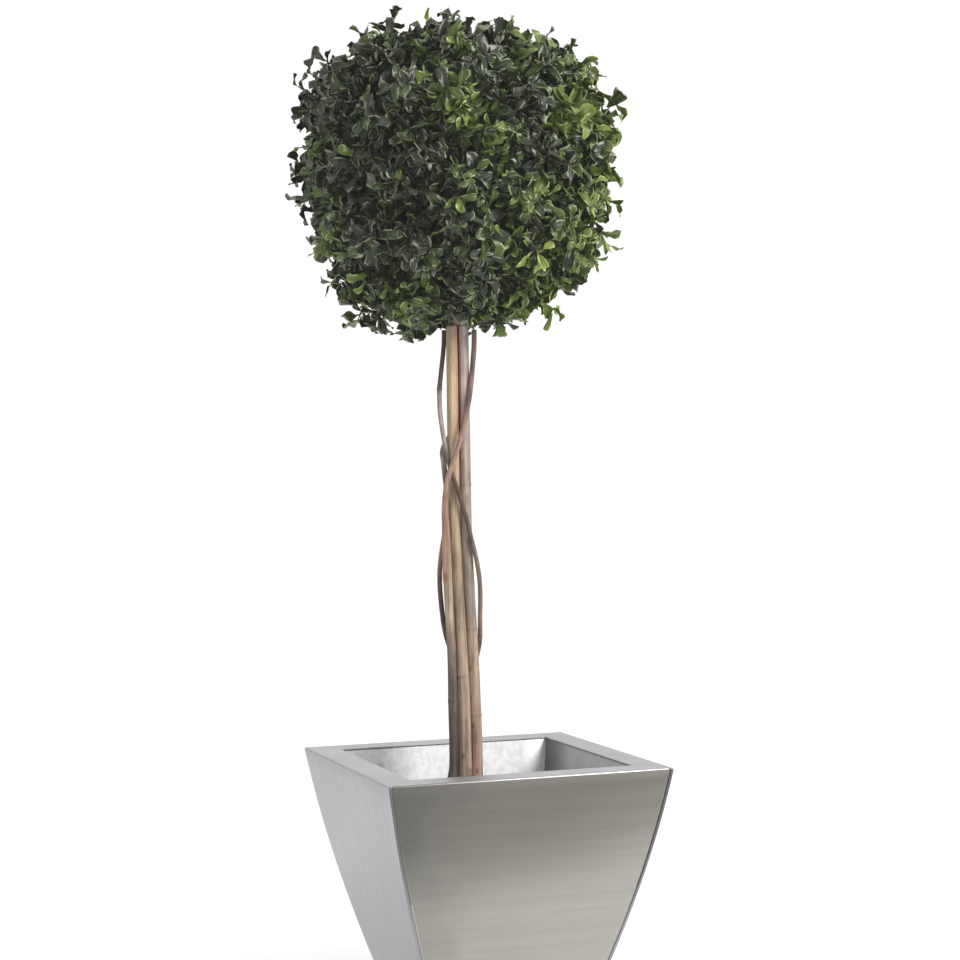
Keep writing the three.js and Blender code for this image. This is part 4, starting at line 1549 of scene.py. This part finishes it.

# %% [markdown]
# ### Leaf tints
# Old leaves are nearly black and new growth is yellow green. Each leaf could read a colour of its own from
# the mesh, but a few plain tints are enough for the eye and are quick to draw. A leaf is dealt its tint by
# its shoot, its sprig and its age. As painted light, leaves on the right get lighter, greener tints, and as
# painted shade, leaves on the left and on top get darker ones. The tints are drawn from a seed of their own,
# so they can be dealt again without moving a leaf. Each tint is one joined mesh or a few, with a finish for
# the blade and a paler one for the midrib and the crests of the edge. On the crests it is partly a pale
# margin and partly a painted highlight.

# %% Leaf tints
SHADE = (0.037, 0.045, 0.024), 0.14
# Each tint: blade colour, paler colour of midrib and crests (partly painted highlight on the crests), sheen.
TINTS = {
    "deep": ((0.031, 0.036, 0.025), (0.158, 0.172, 0.118), 0.4),
    "dark": ((0.038, 0.049, 0.021), (0.155, 0.18, 0.092), 0.38),
    "olive": ((0.058, 0.080, 0.021), (0.175, 0.212, 0.084), 0.32),
    "mid": ((0.092, 0.129, 0.028), (0.21, 0.26, 0.09), 0.28),
    "fresh": ((0.125, 0.167, 0.036), (0.26, 0.31, 0.115), 0.25),
    "bright": ((0.172, 0.22, 0.05), (0.32, 0.37, 0.15), 0.25),
    "young": ((0.232, 0.284, 0.068), (0.38, 0.43, 0.17), 0.25),
}
# Painted light and shade: tints lighter towards the right, darker towards the left and the top.
BASE_TONE, PAINTED_LIGHT_TONE, PAINTED_TOP_SHADE = 1.95, 1.5, 0.8
PAINTED_LIGHT_SIDE = unit(np.array([0.95, -0.12, -0.03]))
TUFT_TONES, SPRIG_DRIFT, LEAF_DRIFT = 0.9, 0.75, 0.85
TIP_TONE, AGE_TONE = 0.9, 0.13
NEW_LEAF_SHARE, NEW_LEAF_TONE = 0.07, 2.2
TONE_SEED = 16341
toner = np.random.default_rng(TONE_SEED)

sprig_sides = unit(sprigs["tip"])
# Painted light on the right side, painted shade on the left and on top.
painted_light = sprig_sides @ PAINTED_LIGHT_SIDE - PAINTED_TOP_SHADE * np.maximum(sprig_sides[:, 2], 0) ** 3
tuft_tone = toner.normal(0, TUFT_TONES, len(shoots["tip"]))[sprigs["shoot"]]
sprig_tone = BASE_TONE + PAINTED_LIGHT_TONE * painted_light + tuft_tone + toner.normal(0, SPRIG_DRIFT, len(painted_light))
order = outer_leaves["order"]
leaf_tone = sprig_tone[outer_leaves["sprig"]] + toner.normal(0, LEAF_DRIFT, len(order))
leaf_tone += TIP_TONE * (order < TIP_LEAVES) - AGE_TONE * order
leaf_tone += NEW_LEAF_TONE * (toner.random(len(order)) < NEW_LEAF_SHARE)
outer_tint = np.clip(np.round(leaf_tone), 1, len(TINTS)).astype(int)
print("leaves of each tint:", dict(zip(TINTS, np.bincount(outer_tint)[1:].tolist())))

# %% Leaf meshes
LEAVES_PER_PIECE = 2700
BLADE_ROUGHNESS, EDGE_ROUGHNESS = 0.26, 0.4
SHEEN_TINT = (0.92, 0.97, 0.82)


def leaf_pieces(name, group, form, finishes):
    """One joined mesh, or several where there are very many leaves of a tint."""
    count = len(group["length"])
    for number, part in enumerate(np.array_split(np.arange(count), math.ceil(count / LEAVES_PER_PIECE))):
        some = chosen(group, part)
        points = from_crown(leaf_blades(some, form).reshape(-1, 3))
        slots = pale_and_highlight_slots(some) if form is FULL_LEAF else None
        piece = mesh_piece(f"{name}_{number + 1}", points, [blade_faces(len(part), form)], finishes, slots)
        show(piece, "foliage")


def blade_finish(name, colour, sheen):
    blade = Finish("leaf_" + name)
    blade.set(Base_Color=colour, Roughness=BLADE_ROUGHNESS)
    return blade.set(Specular_IOR_Level=sheen, Specular_Tint=SHEEN_TINT)


leaf_pieces("leaves_shade", inner_leaves, PLAIN_LEAF, [blade_finish("shade", *SHADE)])
for number, (name, (blade_colour, edge_colour, sheen)) in enumerate(TINTS.items(), start=1):
    edge = Finish("leaf_edge_" + name).set(Base_Color=edge_colour, Roughness=EDGE_ROUGHNESS)
    finishes = [blade_finish(name, blade_colour, sheen), edge]
    leaf_pieces("leaves_" + name, chosen(outer_leaves, outer_tint == number), FULL_LEAF, finishes)
